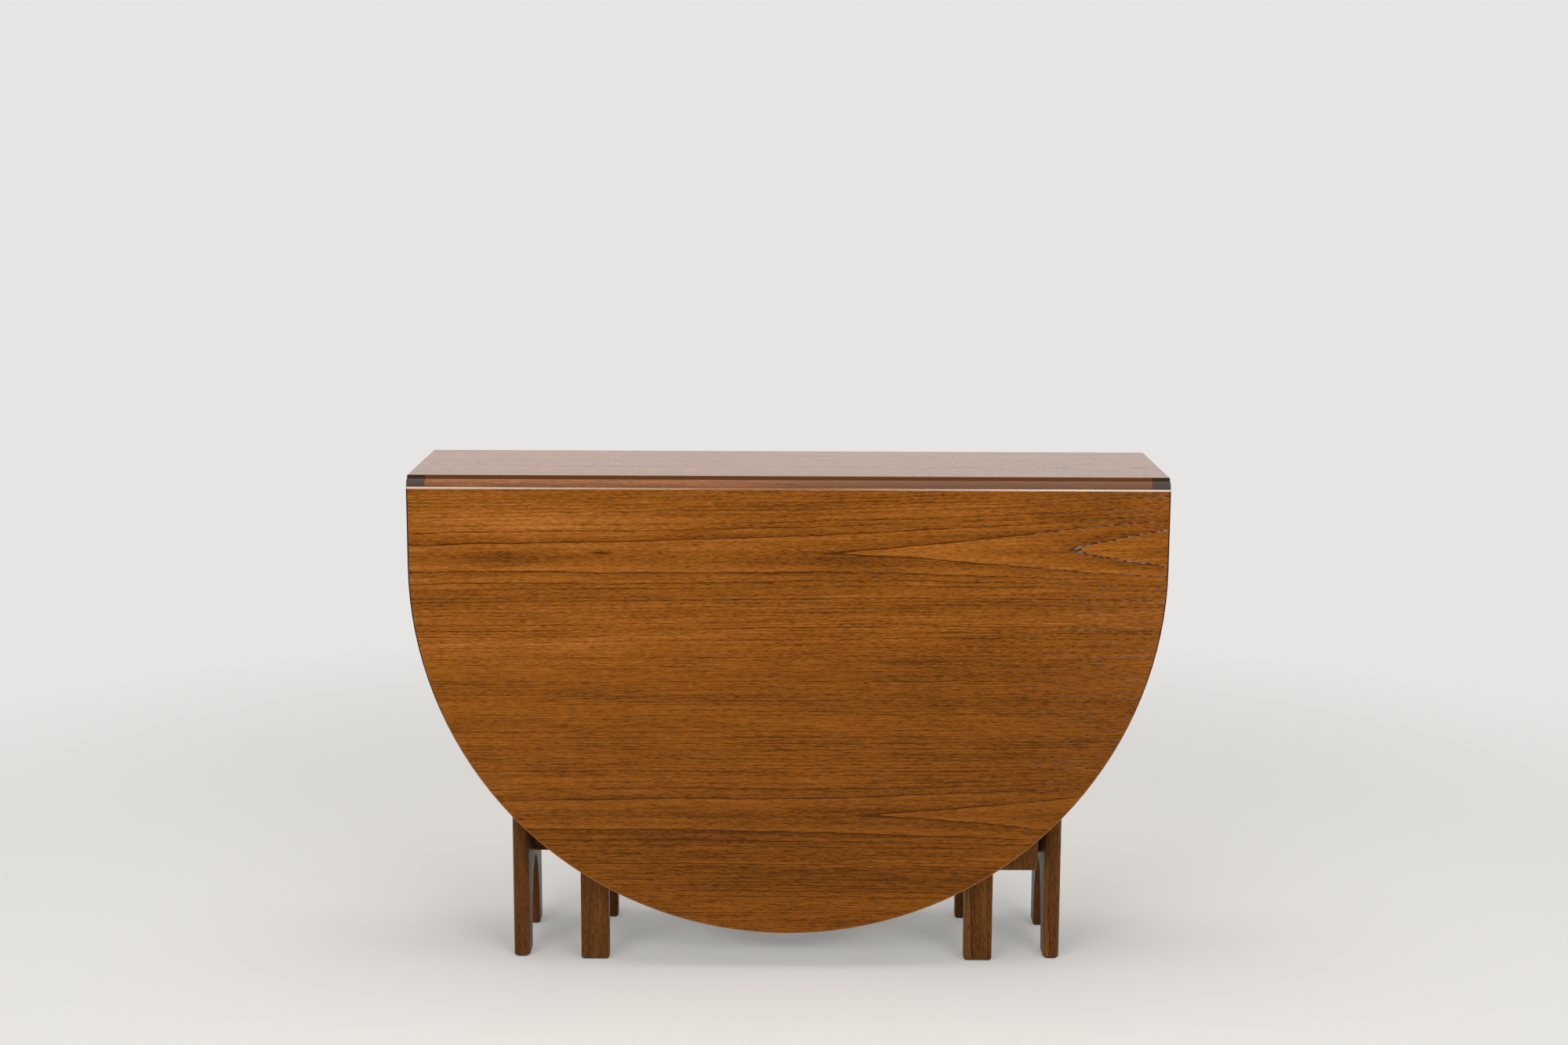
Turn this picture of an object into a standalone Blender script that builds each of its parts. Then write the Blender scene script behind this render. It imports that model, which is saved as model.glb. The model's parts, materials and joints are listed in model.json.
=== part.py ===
"""Drop-leaf gate-leg dining table, closed: a narrow fixed top, two hanging leaves with round ends,
two board end frames arched at the foot and two hinged gates. Metres, +Z up, front towards -Y.

The table is the same after half a turn about Z, so every piece of the rear side is the front
side's mesh under an empty that is turned round."""
import math

import bmesh
import bpy
from mathutils import Matrix, Vector

# Top and leaves
TOP_HEIGHT = 0.740
TOP_LENGTH = 1.100
TOP_DEPTH = 0.260           # between the two arrises that the leaves hang from
BOARD = 0.018
END_LIPPING = 0.026         # solid strip across each end of the veneered top
TOP_ARRIS = 0.0015
LEAF_STRAIGHT = 0.118       # straight sides of a leaf before its round end
LEAF_FLOOR_GAP = 0.056      # under a hanging leaf
LEAF_ARRIS = 0.0015
LEAF_STEPS = 72

# Rule joint between top and leaf
RULE_FILLET = 0.0045
RULE_CLEARANCE = 0.0005
LIP_ROUND = 0.0034
LIP_STEPS = 4
RULE_STEP = math.radians(10)

# Leaf hinges, three to a side, knuckle up in the wood and flaps flush with the underside
LEAF_HINGE_WIDTH = 0.045
LEAF_HINGE_INSET = 0.150    # outer hinges, from the end of the top
LEAF_KNUCKLE = 0.003
LEAF_FLAP = 0.0016
LEAF_PIN = 0.00125
TOP_FLAP_REACH = 0.028
LEAF_FLAP_REACH = 0.045

# End frames, each of two boards joined at the middle
END_OVERHANG = 0.139        # top beyond the outer face of an end frame
END_THICK = 0.024
END_SETBACK = 0.0115        # front edge behind the gate's front face
END_ROUND = 0.008
FOOT_DEPTH = 0.042
FOOT_CHAMFER = 0.003
ARCH_HEIGHT = 0.130
ARCH_STEPS = 12

# Rails between the end frames
RAIL_THICK = 0.025
SPINE_HEIGHT = 0.090
STRETCHER_HEIGHT = 0.070
STRETCHER_RISE = 0.011      # above the crown of the arch
TENON_THICK = 0.010
TENON_LENGTH = 0.015
TENON_SHOULDER = 0.010
CLEAT = 0.024
CLEAT_CLEARANCE = 0.007     # behind a closed gate
CLEAT_SCREWS = (0.25, 0.75)  # shares of a cleat's length

# Gates
LEAF_TO_GATE = 0.020        # hanging leaf to gate
GATE_THICK = 0.025
GATE_LEG_WIDTH = 0.042
NEAR_LEG_INSET = 0.0786     # end frame to the near edge of a gate's leg
GATE_LEG_ROUND = 0.003
GATE_TOP_CLEARANCE = 0.002
GATE_FLOOR_CLEARANCE = 0.0008
STILE_BOTTOM = 0.142
GATE_RAIL_THICK = 0.020
GATE_TOP_RAIL = 0.055
GATE_LOWER_RAIL = 0.050
GATE_LOWER_RAIL_BOTTOM = 0.200
GATE_SWING = math.radians(58)
GATE_STOP_LENGTH = 0.050
GATE_STOP_WIDTH = 0.018
GATE_STOP_THICK = 0.010
GATE_PIECES = ("far_leg", "near_leg", "stile", "top_rail", "lower_rail")

# Gate hinges, two to a gate
GATE_GAP = 0.012            # between stile and end frame, filled by the knuckle
GATE_HINGE_WIDTH = 0.060
GATE_FLAP = 0.002
GATE_FLAP_REACH = 0.036
GATE_FLAP_MARGIN = 0.001
GATE_HINGE_DROP = 0.090     # top of a gate to its upper hinge
GATE_HINGE_SPAN = 0.300
KNUCKLE_STEP = math.radians(30)

# Screw holes and fits; rows are shares of a flap's reach from its pin
SCREW_SPREAD = 0.31         # share of a hinge's width, each side of its middle
TOP_SCREW_ROW = 0.6
LEAF_SCREW_ROW = 0.5
LEAF_SCREW_TIP = 0.8
GATE_SCREW_ROW = 0.68
SCREW_MOUTH = 0.0034
SCREW_HOLE = 0.0018
SCREW_SINK = 0.0014
SCREW_SIDES = 8
PIN_CLEARANCE = 0.0002
KNUCKLE_GAP = 0.0004
SEAT = 0.0003               # left between pieces that touch
CUT_PAST = 0.001            # a cutter stands this far out of the face it opens

# Worked out from the sizes above
HALF_TURN = Matrix.Rotation(math.pi, 4, "Z")
UNDERSIDE = TOP_HEIGHT - BOARD
RULE_RADIUS = BOARD - RULE_FILLET - LEAF_KNUCKLE
LEAF_AXIS = Vector((0, -TOP_DEPTH / 2, UNDERSIDE + LEAF_KNUCKLE))
LEAF_ROUND = LEAF_AXIS.z - LEAF_STRAIGHT - LEAF_FLOOR_GAP
LEAF_OUTER = LEAF_KNUCKLE - BOARD
LEAF_HINGE_AT = TOP_LENGTH / 2 - LEAF_HINGE_INSET
GATE_FRONT = LEAF_AXIS.y + LEAF_KNUCKLE + LEAF_TO_GATE
GATE_BACK = GATE_FRONT + GATE_THICK
END_OUTER = TOP_LENGTH / 2 - END_OVERHANG
END_INNER = END_OUTER - END_THICK
END_FRONT = GATE_FRONT + END_SETBACK
GATE_KNUCKLE = GATE_GAP / 2 - SEAT
GATE_PIN = GATE_KNUCKLE - GATE_FLAP - PIN_CLEARANCE
GATE_AXIS = Vector((END_INNER - GATE_GAP / 2, GATE_FRONT + GATE_KNUCKLE + SEAT, 0))
GATE_TOP = UNDERSIDE - GATE_TOP_CLEARANCE
STILE_END = END_INNER - GATE_GAP
LEG_OUTER = END_INNER - NEAR_LEG_INSET
LEG_INNER = LEG_OUTER - GATE_LEG_WIDTH
STRETCHER_BOTTOM = ARCH_HEIGHT + STRETCHER_RISE
GATE_TOP_RAIL_BOTTOM = GATE_TOP - GATE_TOP_RAIL


def material(name, colour, roughness, metallic=0.0):
    """A plain finish with its linear colour."""
    made = bpy.data.materials.new(name)
    made.use_nodes = True
    shader = made.node_tree.nodes["Principled BSDF"]
    shader.inputs["Base Color"].default_value = (*colour, 1.0)
    shader.inputs["Roughness"].default_value = roughness
    shader.inputs["Metallic"].default_value = metallic
    made.diffuse_color = (*colour, 1.0)
    return made


def mesh_of(bm, name):
    """The bmesh as a mesh whose faces point out."""
    bmesh.ops.recalc_face_normals(bm, faces=bm.faces)
    mesh = bpy.data.meshes.new(name)
    bm.to_mesh(mesh)
    bm.free()
    return mesh


def extruded(outline, along):
    """A solid: a flat outline drawn along a vector."""
    bm = bmesh.new()
    face = bm.faces.new([bm.verts.new(point) for point in outline])
    grown = bmesh.ops.extrude_face_region(bm, geom=[face])["geom"]
    moved = [item for item in grown if isinstance(item, bmesh.types.BMVert)]
    bmesh.ops.translate(bm, verts=moved, vec=along)
    return mesh_of(bm, "extruded")


def box(low, high):
    """A box between two corners."""
    floor = [(low[0], low[1]), (high[0], low[1]), (high[0], high[1]), (low[0], high[1])]
    return extruded([(x, y, low[2]) for x, y in floor], (0, 0, high[2] - low[2]))


def rod(radius, low, high, step):
    """A round rod along X."""
    count = round(2 * math.pi / step)
    turns = [2 * math.pi * index / count for index in range(count)]
    ring = [(low, radius * math.cos(turn), radius * math.sin(turn)) for turn in turns]
    return extruded(ring, (high - low, 0, 0))


def turned(profile, sides):
    """A turned solid about Z, from (radius, z) pairs whose first and last lie on the axis."""
    bm = bmesh.new()
    bottom = bm.verts.new((0, 0, profile[0][1]))
    tip = bm.verts.new((0, 0, profile[-1][1]))
    rings = []
    for radius, z in profile[1:-1]:
        turns = [2 * math.pi * index / sides for index in range(sides)]
        rings.append([bm.verts.new((radius * math.cos(t), radius * math.sin(t), z)) for t in turns])
    for index in range(sides):
        after = (index + 1) % sides
        bm.faces.new((bottom, rings[0][index], rings[0][after]))
        bm.faces.new((tip, rings[-1][index], rings[-1][after]))
        for lower, upper in zip(rings, rings[1:]):
            bm.faces.new((lower[index], lower[after], upper[after], upper[index]))
    return mesh_of(bm, "turned")


def eased(mesh, width, segments, chosen):
    """The mesh with its chosen edges rounded; chosen tests an edge's two ends."""
    bm = bmesh.new()
    bm.from_mesh(mesh)
    edges = [edge for edge in bm.edges if chosen(*(vert.co for vert in edge.verts))]
    bmesh.ops.bevel(bm, geom=edges, offset=width, segments=segments, profile=0.5, affect="EDGES")
    return mesh_of(bm, "eased")


def joined(meshes):
    """Several meshes as one mesh of separate solids."""
    bm = bmesh.new()
    for mesh in meshes:
        bm.from_mesh(mesh)
    return mesh_of(bm, "joined")


def gathered(mesh, places):
    """Copies of a mesh at several places, as one mesh of separate solids."""
    copies = []
    for place in places:
        copies.append(mesh.copy())
        copies[-1].transform(place)
    return joined(copies)


def boolean(mesh, tool, operation):
    """The mesh with a tool mesh united with it or cut from it."""
    pair = [bpy.data.objects.new(name, data) for name, data in (("body", mesh), ("tool", tool))]
    for item in pair:
        bpy.context.scene.collection.objects.link(item)
    modifier = pair[0].modifiers.new("boolean", "BOOLEAN")
    modifier.operation = operation
    modifier.object = pair[1]
    view = bpy.context.evaluated_depsgraph_get()
    result = bpy.data.meshes.new_from_object(pair[0].evaluated_get(view))
    for item in pair:
        bpy.data.objects.remove(item)
    return result


def cut(mesh, *tools):
    """The mesh with each tool cut from it in turn."""
    for tool in tools:
        mesh = boolean(mesh, tool, "DIFFERENCE")
    return mesh


def at_edge(axis, value):
    """A test for edges that lie in the plane where one coordinate has a value."""
    return lambda a, b: max(abs(a[axis] - value), abs(b[axis] - value)) < 1e-6


def runs_along(axis):
    """A test for edges parallel to an axis."""
    others = [index for index in range(3) if index != axis]
    return lambda a, b: all(abs(a[index] - b[index]) < 1e-6 for index in others)


def screw_hole(depth):
    """The cutter for a countersunk screw hole whose mouth lies at z = 0."""
    slope = (SCREW_MOUTH - SCREW_HOLE) / SCREW_SINK
    bottom = -depth - CUT_PAST
    profile = [(0, CUT_PAST), (SCREW_MOUTH + slope * CUT_PAST, CUT_PAST), (SCREW_HOLE, -SCREW_SINK),
               (SCREW_HOLE, bottom), (0, bottom)]
    return turned(profile, SCREW_SIDES)


class Flap:
    """One flap of a hinge. Its pin lies along X, and its plate hangs towards -Z with its outer face
    tangent to the knuckle on +Y. The screws are sunk in that outer face, or in the inner one."""

    def __init__(self, width, knuckle, plate, pin, reach, middle, screws, sunk_outside):
        self.width, self.knuckle, self.plate, self.reach = width, knuckle, plate, reach
        self.pin = pin
        self.middle = middle
        self.start = knuckle + KNUCKLE_GAP
        face, turn = (knuckle, -math.pi / 2) if sunk_outside else (knuckle - plate, math.pi / 2)
        self.screws = [Matrix.Translation((x, face, -z)) @ Matrix.Rotation(turn, 4, "X") for x, z in screws]

    def barrels(self):
        """The stretches of the pin that this flap's knuckles wrap: the middle third or the outer two."""
        third, half = self.width / 6, self.width / 2
        gap = KNUCKLE_GAP / 2
        if self.middle:
            return [(-third + gap, third - gap)]
        return [(-half, -third - gap), (third + gap, half)]

    def mesh(self):
        """The plate with its knuckles, bored for the pin and drilled for the screws."""
        inner = self.knuckle - self.plate
        overlap = self.start + self.plate
        stop = 2 * math.pi - math.acos(inner / self.knuckle)
        turns = [KNUCKLE_STEP * index for index in range(1, int(stop / KNUCKLE_STEP) + 1)]
        turns = [0, *turns, stop]
        curl = [(self.knuckle * math.cos(turn), self.knuckle * math.sin(turn)) for turn in turns]
        profile = [(self.knuckle, -overlap), *curl, (inner, -overlap)]
        half = self.width / 2
        made = box((-half, inner, -self.reach), (half, self.knuckle, -self.start))
        for low, high in self.barrels():
            knuckle = extruded([(low, y, z) for y, z in profile], (high - low, 0, 0))
            made = boolean(made, knuckle, "UNION")
        bore = rod(self.pin + PIN_CLEARANCE, -half - CUT_PAST, half + CUT_PAST, KNUCKLE_STEP)
        return cut(made, bore, gathered(screw_hole(self.plate), self.screws))

    def pin_mesh(self):
        """The pin, as long as the hinge is wide."""
        return rod(self.pin, -self.width / 2, self.width / 2, KNUCKLE_STEP)

    def pocket(self, past_axis):
        """The cutter for the flap's bed, which runs past the pin by a given length."""
        half = self.width / 2 + SEAT
        low = (-half, self.knuckle - self.plate - SEAT, -self.reach - SEAT)
        return box(low, (half, self.knuckle + CUT_PAST, past_axis))

    def groove(self):
        """The cutter for the round groove that the knuckles turn in."""
        half = self.width / 2 + SEAT
        return rod(self.knuckle + KNUCKLE_GAP, -half, half, KNUCKLE_STEP / 2)


def across(width, row):
    """Two screws in a row, one to each side of a flap's middle."""
    return [(-SCREW_SPREAD * width, row), (SCREW_SPREAD * width, row)]


def hung(axis, offsets, turn):
    """The places of a hinge's flaps, by name: turned, and set off along the joint's axis."""
    return {key: Matrix.Translation(axis + offset) @ turn for key, offset in offsets.items()}


STILE_FLAP_REACH = GATE_BACK - GATE_AXIS.y - GATE_FLAP_MARGIN
TOP_FLAP = Flap(LEAF_HINGE_WIDTH, LEAF_KNUCKLE, LEAF_FLAP, LEAF_PIN, TOP_FLAP_REACH, False,
                across(LEAF_HINGE_WIDTH, TOP_SCREW_ROW * TOP_FLAP_REACH), True)
DROP_FLAP = Flap(LEAF_HINGE_WIDTH, LEAF_KNUCKLE, LEAF_FLAP, LEAF_PIN, LEAF_FLAP_REACH, True,
                 [*across(LEAF_HINGE_WIDTH, LEAF_SCREW_ROW * LEAF_FLAP_REACH),
                  (0, LEAF_SCREW_TIP * LEAF_FLAP_REACH)], True)
FRAME_FLAP = Flap(GATE_HINGE_WIDTH, GATE_KNUCKLE, GATE_FLAP, GATE_PIN, GATE_FLAP_REACH, False,
                  across(GATE_HINGE_WIDTH, GATE_SCREW_ROW * GATE_FLAP_REACH), False)
STILE_FLAP = Flap(GATE_HINGE_WIDTH, GATE_KNUCKLE, GATE_FLAP, GATE_PIN, STILE_FLAP_REACH, True,
                  across(GATE_HINGE_WIDTH, GATE_SCREW_ROW * STILE_FLAP_REACH), False)

# Where the flaps of the front side lie
OUTER_HINGE = Vector((LEAF_HINGE_AT, 0, 0))
LEAF_HINGES = {"left": -OUTER_HINGE, "middle": Vector(), "right": OUTER_HINGE}
UPPER_HINGE = Vector((0, 0, GATE_TOP - GATE_HINGE_DROP - GATE_HINGE_WIDTH / 2))
GATE_HINGES = {"lower": UPPER_HINGE - Vector((0, 0, GATE_HINGE_SPAN)), "upper": UPPER_HINGE}
ON_TOP = hung(LEAF_AXIS, LEAF_HINGES, HALF_TURN @ Matrix.Rotation(-math.pi / 2, 4, "X"))
ON_LEAF = hung(Vector(), LEAF_HINGES, Matrix())
ON_FRAME = hung(GATE_AXIS, GATE_HINGES, Matrix(((0, 1, 0), (0, 0, -1), (-1, 0, 0))).to_4x4())
ON_STILE = hung(GATE_AXIS, GATE_HINGES, Matrix(((0, -1, 0), (0, 0, -1), (1, 0, 0))).to_4x4())


def both_sides(places):
    """Front places, and the same places on the rear side."""
    return [*places, *(HALF_TURN @ place for place in places)]


def cleat_screw_places():
    """Where two screws go up through each front cleat into the top, heads down."""
    middle = END_INNER - SEAT - CLEAT / 2
    front, back = cleat_span()
    rows = [front + (back - front) * share for share in CLEAT_SCREWS]
    down = Matrix.Rotation(math.pi, 4, "X")
    bottom = UNDERSIDE - SEAT - CLEAT
    return [Matrix.Translation((x, y, bottom)) @ down for x in (-middle, middle) for y in rows]


def cleat_span():
    """The stretch of Y that a front cleat covers, from behind the gate to the spine."""
    return GATE_BACK + CLEAT_CLEARANCE, -RAIL_THICK / 2 - SEAT


def rule_profile():
    """The front edge of the top, from its upper arris down the fillet and the quarter-round."""
    under = -math.asin(LEAF_KNUCKLE / RULE_RADIUS)
    count = math.ceil((math.pi / 2 - under) / RULE_STEP)
    turns = [math.pi / 2 + (under - math.pi / 2) * index / count for index in range(count + 1)]
    curve = [(LEAF_AXIS.y - RULE_RADIUS * math.cos(turn), LEAF_AXIS.z + RULE_RADIUS * math.sin(turn))
             for turn in turns]
    return [(LEAF_AXIS.y, TOP_HEIGHT), *curve]


def top_section(low, high):
    """A length of the top between two places along X, moulded on both long edges."""
    front = rule_profile()
    rear = [(-y, z) for y, z in reversed(front)]
    return extruded([(low, y, z) for y, z in front + rear], (high - low, 0, 0))


def top_panel():
    """The veneered panel, with the beds of the leaf hinges underneath."""
    half = TOP_LENGTH / 2 - END_LIPPING - SEAT
    beds = both_sides(ON_TOP.values())
    return cut(top_section(-half, half),
               gathered(TOP_FLAP.pocket(RULE_RADIUS + CUT_PAST), beds),
               gathered(TOP_FLAP.groove(), beds))


def end_lipping():
    """The solid strip across the right end of the top, its outer arris eased."""
    end = TOP_LENGTH / 2
    outer = at_edge(0, end)
    upper = at_edge(2, TOP_HEIGHT)
    strip = top_section(end - END_LIPPING, end)
    return eased(strip, TOP_ARRIS, 2, lambda a, b: outer(a, b) and upper(a, b))


def lip_waste():
    """What is planed off the upper edge of a leaf's face to round it over, about the hinge axis."""
    half = TOP_LENGTH / 2 + CUT_PAST
    front, top = LEAF_OUTER, -RULE_CLEARANCE
    turns = [math.pi / 2 * index / LIP_STEPS for index in range(LIP_STEPS + 1)]
    curve = [(front + LIP_ROUND * (1 - math.cos(turn)), top - LIP_ROUND * (1 - math.sin(turn))) for turn in turns]
    corner = [(front + LIP_ROUND, top + CUT_PAST), (front - CUT_PAST, top + CUT_PAST),
              (front - CUT_PAST, top - LIP_ROUND)]
    return extruded([(-half, y, z) for y, z in curve + corner], (2 * half, 0, 0))


def leaf():
    """A hanging leaf about its hinge axis: straight sides, a round end, and the cove of the rule joint."""
    half = TOP_LENGTH / 2
    turns = [math.pi * index / LEAF_STEPS for index in range(LEAF_STEPS + 1)]
    curve = [(half * math.cos(turn), -LEAF_STRAIGHT - LEAF_ROUND * math.sin(turn)) for turn in turns]
    outline = [(-half, -RULE_CLEARANCE), (half, -RULE_CLEARANCE), *curve]
    board = extruded([(x, LEAF_OUTER, z) for x, z in outline], (0, BOARD, 0))
    face = at_edge(1, LEAF_OUTER)
    lip = at_edge(2, -RULE_CLEARANCE)
    board = eased(board, LEAF_ARRIS, 2, lambda a, b: face(a, b) and not lip(a, b))
    cove = rod(RULE_RADIUS + RULE_CLEARANCE, -half - CUT_PAST, half + CUT_PAST, RULE_STEP)
    return cut(board, cove, lip_waste(), gathered(DROP_FLAP.pocket(0), ON_LEAF.values()))


def gate_stop():
    """The block under a leaf that the far leg meets when the gate is fully open."""
    leg = Vector((-(LEG_INNER + LEG_OUTER) / 2, GATE_FRONT - SEAT - GATE_STOP_WIDTH / 2, 0)) - GATE_AXIS
    swing = Matrix.Rotation(GATE_SWING, 4, "Z")
    open_place = Matrix.Translation(GATE_AXIS) @ swing @ Matrix.Translation(leg)
    half = Vector((GATE_STOP_LENGTH / 2, GATE_STOP_WIDTH / 2, 0))
    block = box(-half - Vector((0, 0, GATE_STOP_THICK)), half)
    block = eased(block, GATE_LEG_ROUND / 2, 1, at_edge(2, -GATE_STOP_THICK))
    block.transform(open_place)
    block.transform(Matrix.Translation((0, -LEAF_AXIS.y, -LEAF_KNUCKLE - SEAT)))
    block.transform(Matrix.Rotation(math.pi / 2, 4, "X"))
    return block


def rail(half_length, thick, low, high, middle):
    """A rail along X with a tenon at each end; half_length is to its shoulders."""
    made = box((-half_length, middle - thick / 2, low), (half_length, middle + thick / 2, high))
    reach = half_length + TENON_LENGTH
    tenon = box((-reach, middle - TENON_THICK / 2, low + TENON_SHOULDER),
                (reach, middle + TENON_THICK / 2, high - TENON_SHOULDER))
    return boolean(made, tenon, "UNION")


def mortise(shoulder, low, high, middle):
    """The cutter for both mortises of a rail, whose shoulders meet the faces at -shoulder and shoulder."""
    made = []
    for side in (-1, 1):
        ends = sorted((side * (shoulder - CUT_PAST), side * (shoulder + TENON_LENGTH + SEAT)))
        made.append(box((ends[0], middle - TENON_THICK / 2 - SEAT, low + TENON_SHOULDER - SEAT),
                        (ends[1], middle + TENON_THICK / 2 + SEAT, high - TENON_SHOULDER + SEAT)))
    return joined(made)


def stretcher():
    """The lower rail, along the middle of the table."""
    return rail(END_INNER - SEAT, RAIL_THICK, STRETCHER_BOTTOM, STRETCHER_BOTTOM + STRETCHER_HEIGHT, 0)


def spine():
    """The upper rail, along the middle under the top."""
    top = UNDERSIDE - SEAT
    return rail(END_INNER - SEAT, RAIL_THICK, top - SPINE_HEIGHT, top, 0)


def leg_board(side):
    """The front board of an end frame, left for -1 and right for 1: a leg that an arch spreads from."""
    top = UNDERSIDE - SEAT
    seam = -SEAT / 2
    span = seam - END_FRONT - FOOT_DEPTH
    turns = [math.pi / 2 * index / ARCH_STEPS for index in range(ARCH_STEPS + 1)]
    arch = [(seam - span * math.sin(turn), ARCH_HEIGHT * math.cos(turn)) for turn in turns]
    outline = [(END_FRONT, 0), (END_FRONT, top), (seam, top), *arch]
    low, high = sorted((side * END_INNER, side * END_OUTER))
    board = extruded([(low, y, z) for y, z in outline], (high - low, 0, 0))
    front = at_edge(1, END_FRONT)
    upright = runs_along(2)
    board = eased(board, END_ROUND, 4, lambda a, b: front(a, b) and upright(a, b))
    board = eased(board, FOOT_CHAMFER, 1, at_edge(2, 0))
    spine_top = UNDERSIDE - SEAT
    return cut(board,
               mortise(END_INNER, STRETCHER_BOTTOM, STRETCHER_BOTTOM + STRETCHER_HEIGHT, 0),
               mortise(END_INNER, spine_top - SPINE_HEIGHT, spine_top, 0))


def cleat(side):
    """A front screw cleat in the corner between an end frame and the top."""
    front, back = cleat_span()
    ends = sorted((side * (END_INNER - SEAT), side * (END_INNER - SEAT - CLEAT)))
    block = box((ends[0], front, UNDERSIDE - SEAT - CLEAT), (ends[1], back, UNDERSIDE - SEAT))
    return cut(block, gathered(screw_hole(CLEAT), cleat_screw_places()))


def gate_rails():
    """The heights of a gate's two rails, by name."""
    return {"top_rail": (GATE_TOP_RAIL_BOTTOM, GATE_TOP),
            "lower_rail": (GATE_LOWER_RAIL_BOTTOM, GATE_LOWER_RAIL_BOTTOM + GATE_LOWER_RAIL)}


def gate_leg(side):
    """A gate's flat leg, near the hinge for 1 and far from it for -1, mortised for both rails."""
    low, high = sorted((side * LEG_INNER, side * LEG_OUTER))
    leg = box((low, GATE_FRONT, GATE_FLOOR_CLEARANCE), (high, GATE_BACK, GATE_TOP))
    leg = eased(leg, GATE_LEG_ROUND, 2, runs_along(2))
    leg = eased(leg, FOOT_CHAMFER, 1, at_edge(2, GATE_FLOOR_CLEARANCE))
    middle = (GATE_FRONT + GATE_BACK) / 2
    return cut(leg, *(mortise(LEG_INNER, *heights, middle) for heights in gate_rails().values()))


def hinge_stile():
    """The upright between a gate's near leg and the end frame that carries the gate's hinges."""
    stile = box((LEG_OUTER + SEAT, GATE_FRONT, STILE_BOTTOM), (STILE_END, GATE_BACK, GATE_TOP))
    return eased(stile, GATE_LEG_ROUND, 2, at_edge(2, STILE_BOTTOM))


def empty(name, parent, place):
    """An empty that carries pieces, placed under its parent."""
    made = bpy.data.objects.new(name, None)
    bpy.context.scene.collection.objects.link(made)
    made.parent = parent
    made.matrix_local = place
    return made


def node(name, mesh, finish, parent=None, place=Matrix()):
    """A named piece of the table; copies may share a mesh."""
    if not mesh.materials:
        mesh.materials.append(finish)
        mesh.shade_smooth()
        mesh.set_sharp_from_angle(angle=math.radians(35))
    made = bpy.data.objects.new(name, mesh)
    bpy.context.scene.collection.objects.link(made)
    made.parent = parent
    made.matrix_local = place
    return made


def about(axis, mesh):
    """The mesh moved so that its origin lies on a joint axis."""
    mesh.transform(Matrix.Translation(-axis))
    return mesh


def build_frame(finishes):
    """The pieces on the table's middle line."""
    panel, wood = finishes["panel"], finishes["wood"]
    node("top_panel", top_panel(), panel)
    lipping = end_lipping()
    node("right_end_lipping", lipping, wood)
    node("left_end_lipping", lipping, wood, place=HALF_TURN)
    node("lower_stretcher", stretcher(), wood)
    node("upper_spine", spine(), wood)


def side_meshes():
    """Every mesh that the front and the rear side share, by the name of its piece."""
    made = {"leaf": leaf(), "leaf_stop": gate_stop(),
            "top_flap": TOP_FLAP.mesh(), "leaf_flap": DROP_FLAP.mesh(),
            "frame_flap": FRAME_FLAP.mesh(), "gate_flap": STILE_FLAP.mesh(),
            "leg_left": leg_board(-1), "leg_right": leg_board(1),
            "cleat_left": cleat(-1), "cleat_right": cleat(1),
            "leaf_pin": TOP_FLAP.pin_mesh(), "gate_pin": FRAME_FLAP.pin_mesh(),
            "gate_far_leg": gate_leg(-1), "gate_near_leg": gate_leg(1), "gate_stile": hinge_stile()}
    middle = (GATE_FRONT + GATE_BACK) / 2
    for name, heights in gate_rails().items():
        made["gate_" + name] = rail(LEG_INNER - SEAT, GATE_RAIL_THICK, *heights, middle)
    for piece in GATE_PIECES:
        about(GATE_AXIS, made["gate_" + piece])
    return made


def build_side(side, turn, sides, meshes, finishes):
    """One long side: its leaf and gate under empties on their joint axes, and its half of the frame.
    sides gives what left and right become once the side is turned."""
    panel, wood, steel = finishes["panel"], finishes["wood"], finishes["steel"]
    carrier = empty(side + "_side", None, turn)
    for hand in ("left", "right"):
        node(f"{sides[hand]}_{side}_leg_board", meshes["leg_" + hand], wood, carrier)
        node(f"{sides[hand]}_{side}_cleat", meshes["cleat_" + hand], wood, carrier)
    for key, place in ON_TOP.items():
        node(f"{side}_{sides.get(key, key)}_top_flap", meshes["top_flap"], steel, carrier, place)
        node(f"{side}_{sides.get(key, key)}_leaf_pin", meshes["leaf_pin"], steel, carrier, place)
    for key, place in ON_FRAME.items():
        node(f"{side}_{key}_frame_flap", meshes["frame_flap"], steel, carrier, place)
        node(f"{side}_{key}_gate_pin", meshes["gate_pin"], steel, carrier, place)

    leaf_axis = empty(side + "_leaf_axis", carrier, Matrix.Translation(LEAF_AXIS))
    node(side + "_leaf", meshes["leaf"], panel, leaf_axis)
    node(side + "_leaf_stop", meshes["leaf_stop"], wood, leaf_axis)
    for key, place in ON_LEAF.items():
        node(f"{side}_{sides.get(key, key)}_leaf_flap", meshes["leaf_flap"], steel, leaf_axis, place)

    gate_axis = empty(side + "_gate_axis", carrier, Matrix.Translation(GATE_AXIS))
    for piece in GATE_PIECES:
        node(f"{side}_gate_{piece}", meshes["gate_" + piece], wood, gate_axis)
    for key, place in ON_STILE.items():
        at_axis = Matrix.Translation(-GATE_AXIS) @ place
        node(f"{side}_{key}_gate_flap", meshes["gate_flap"], steel, gate_axis, at_axis)


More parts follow.
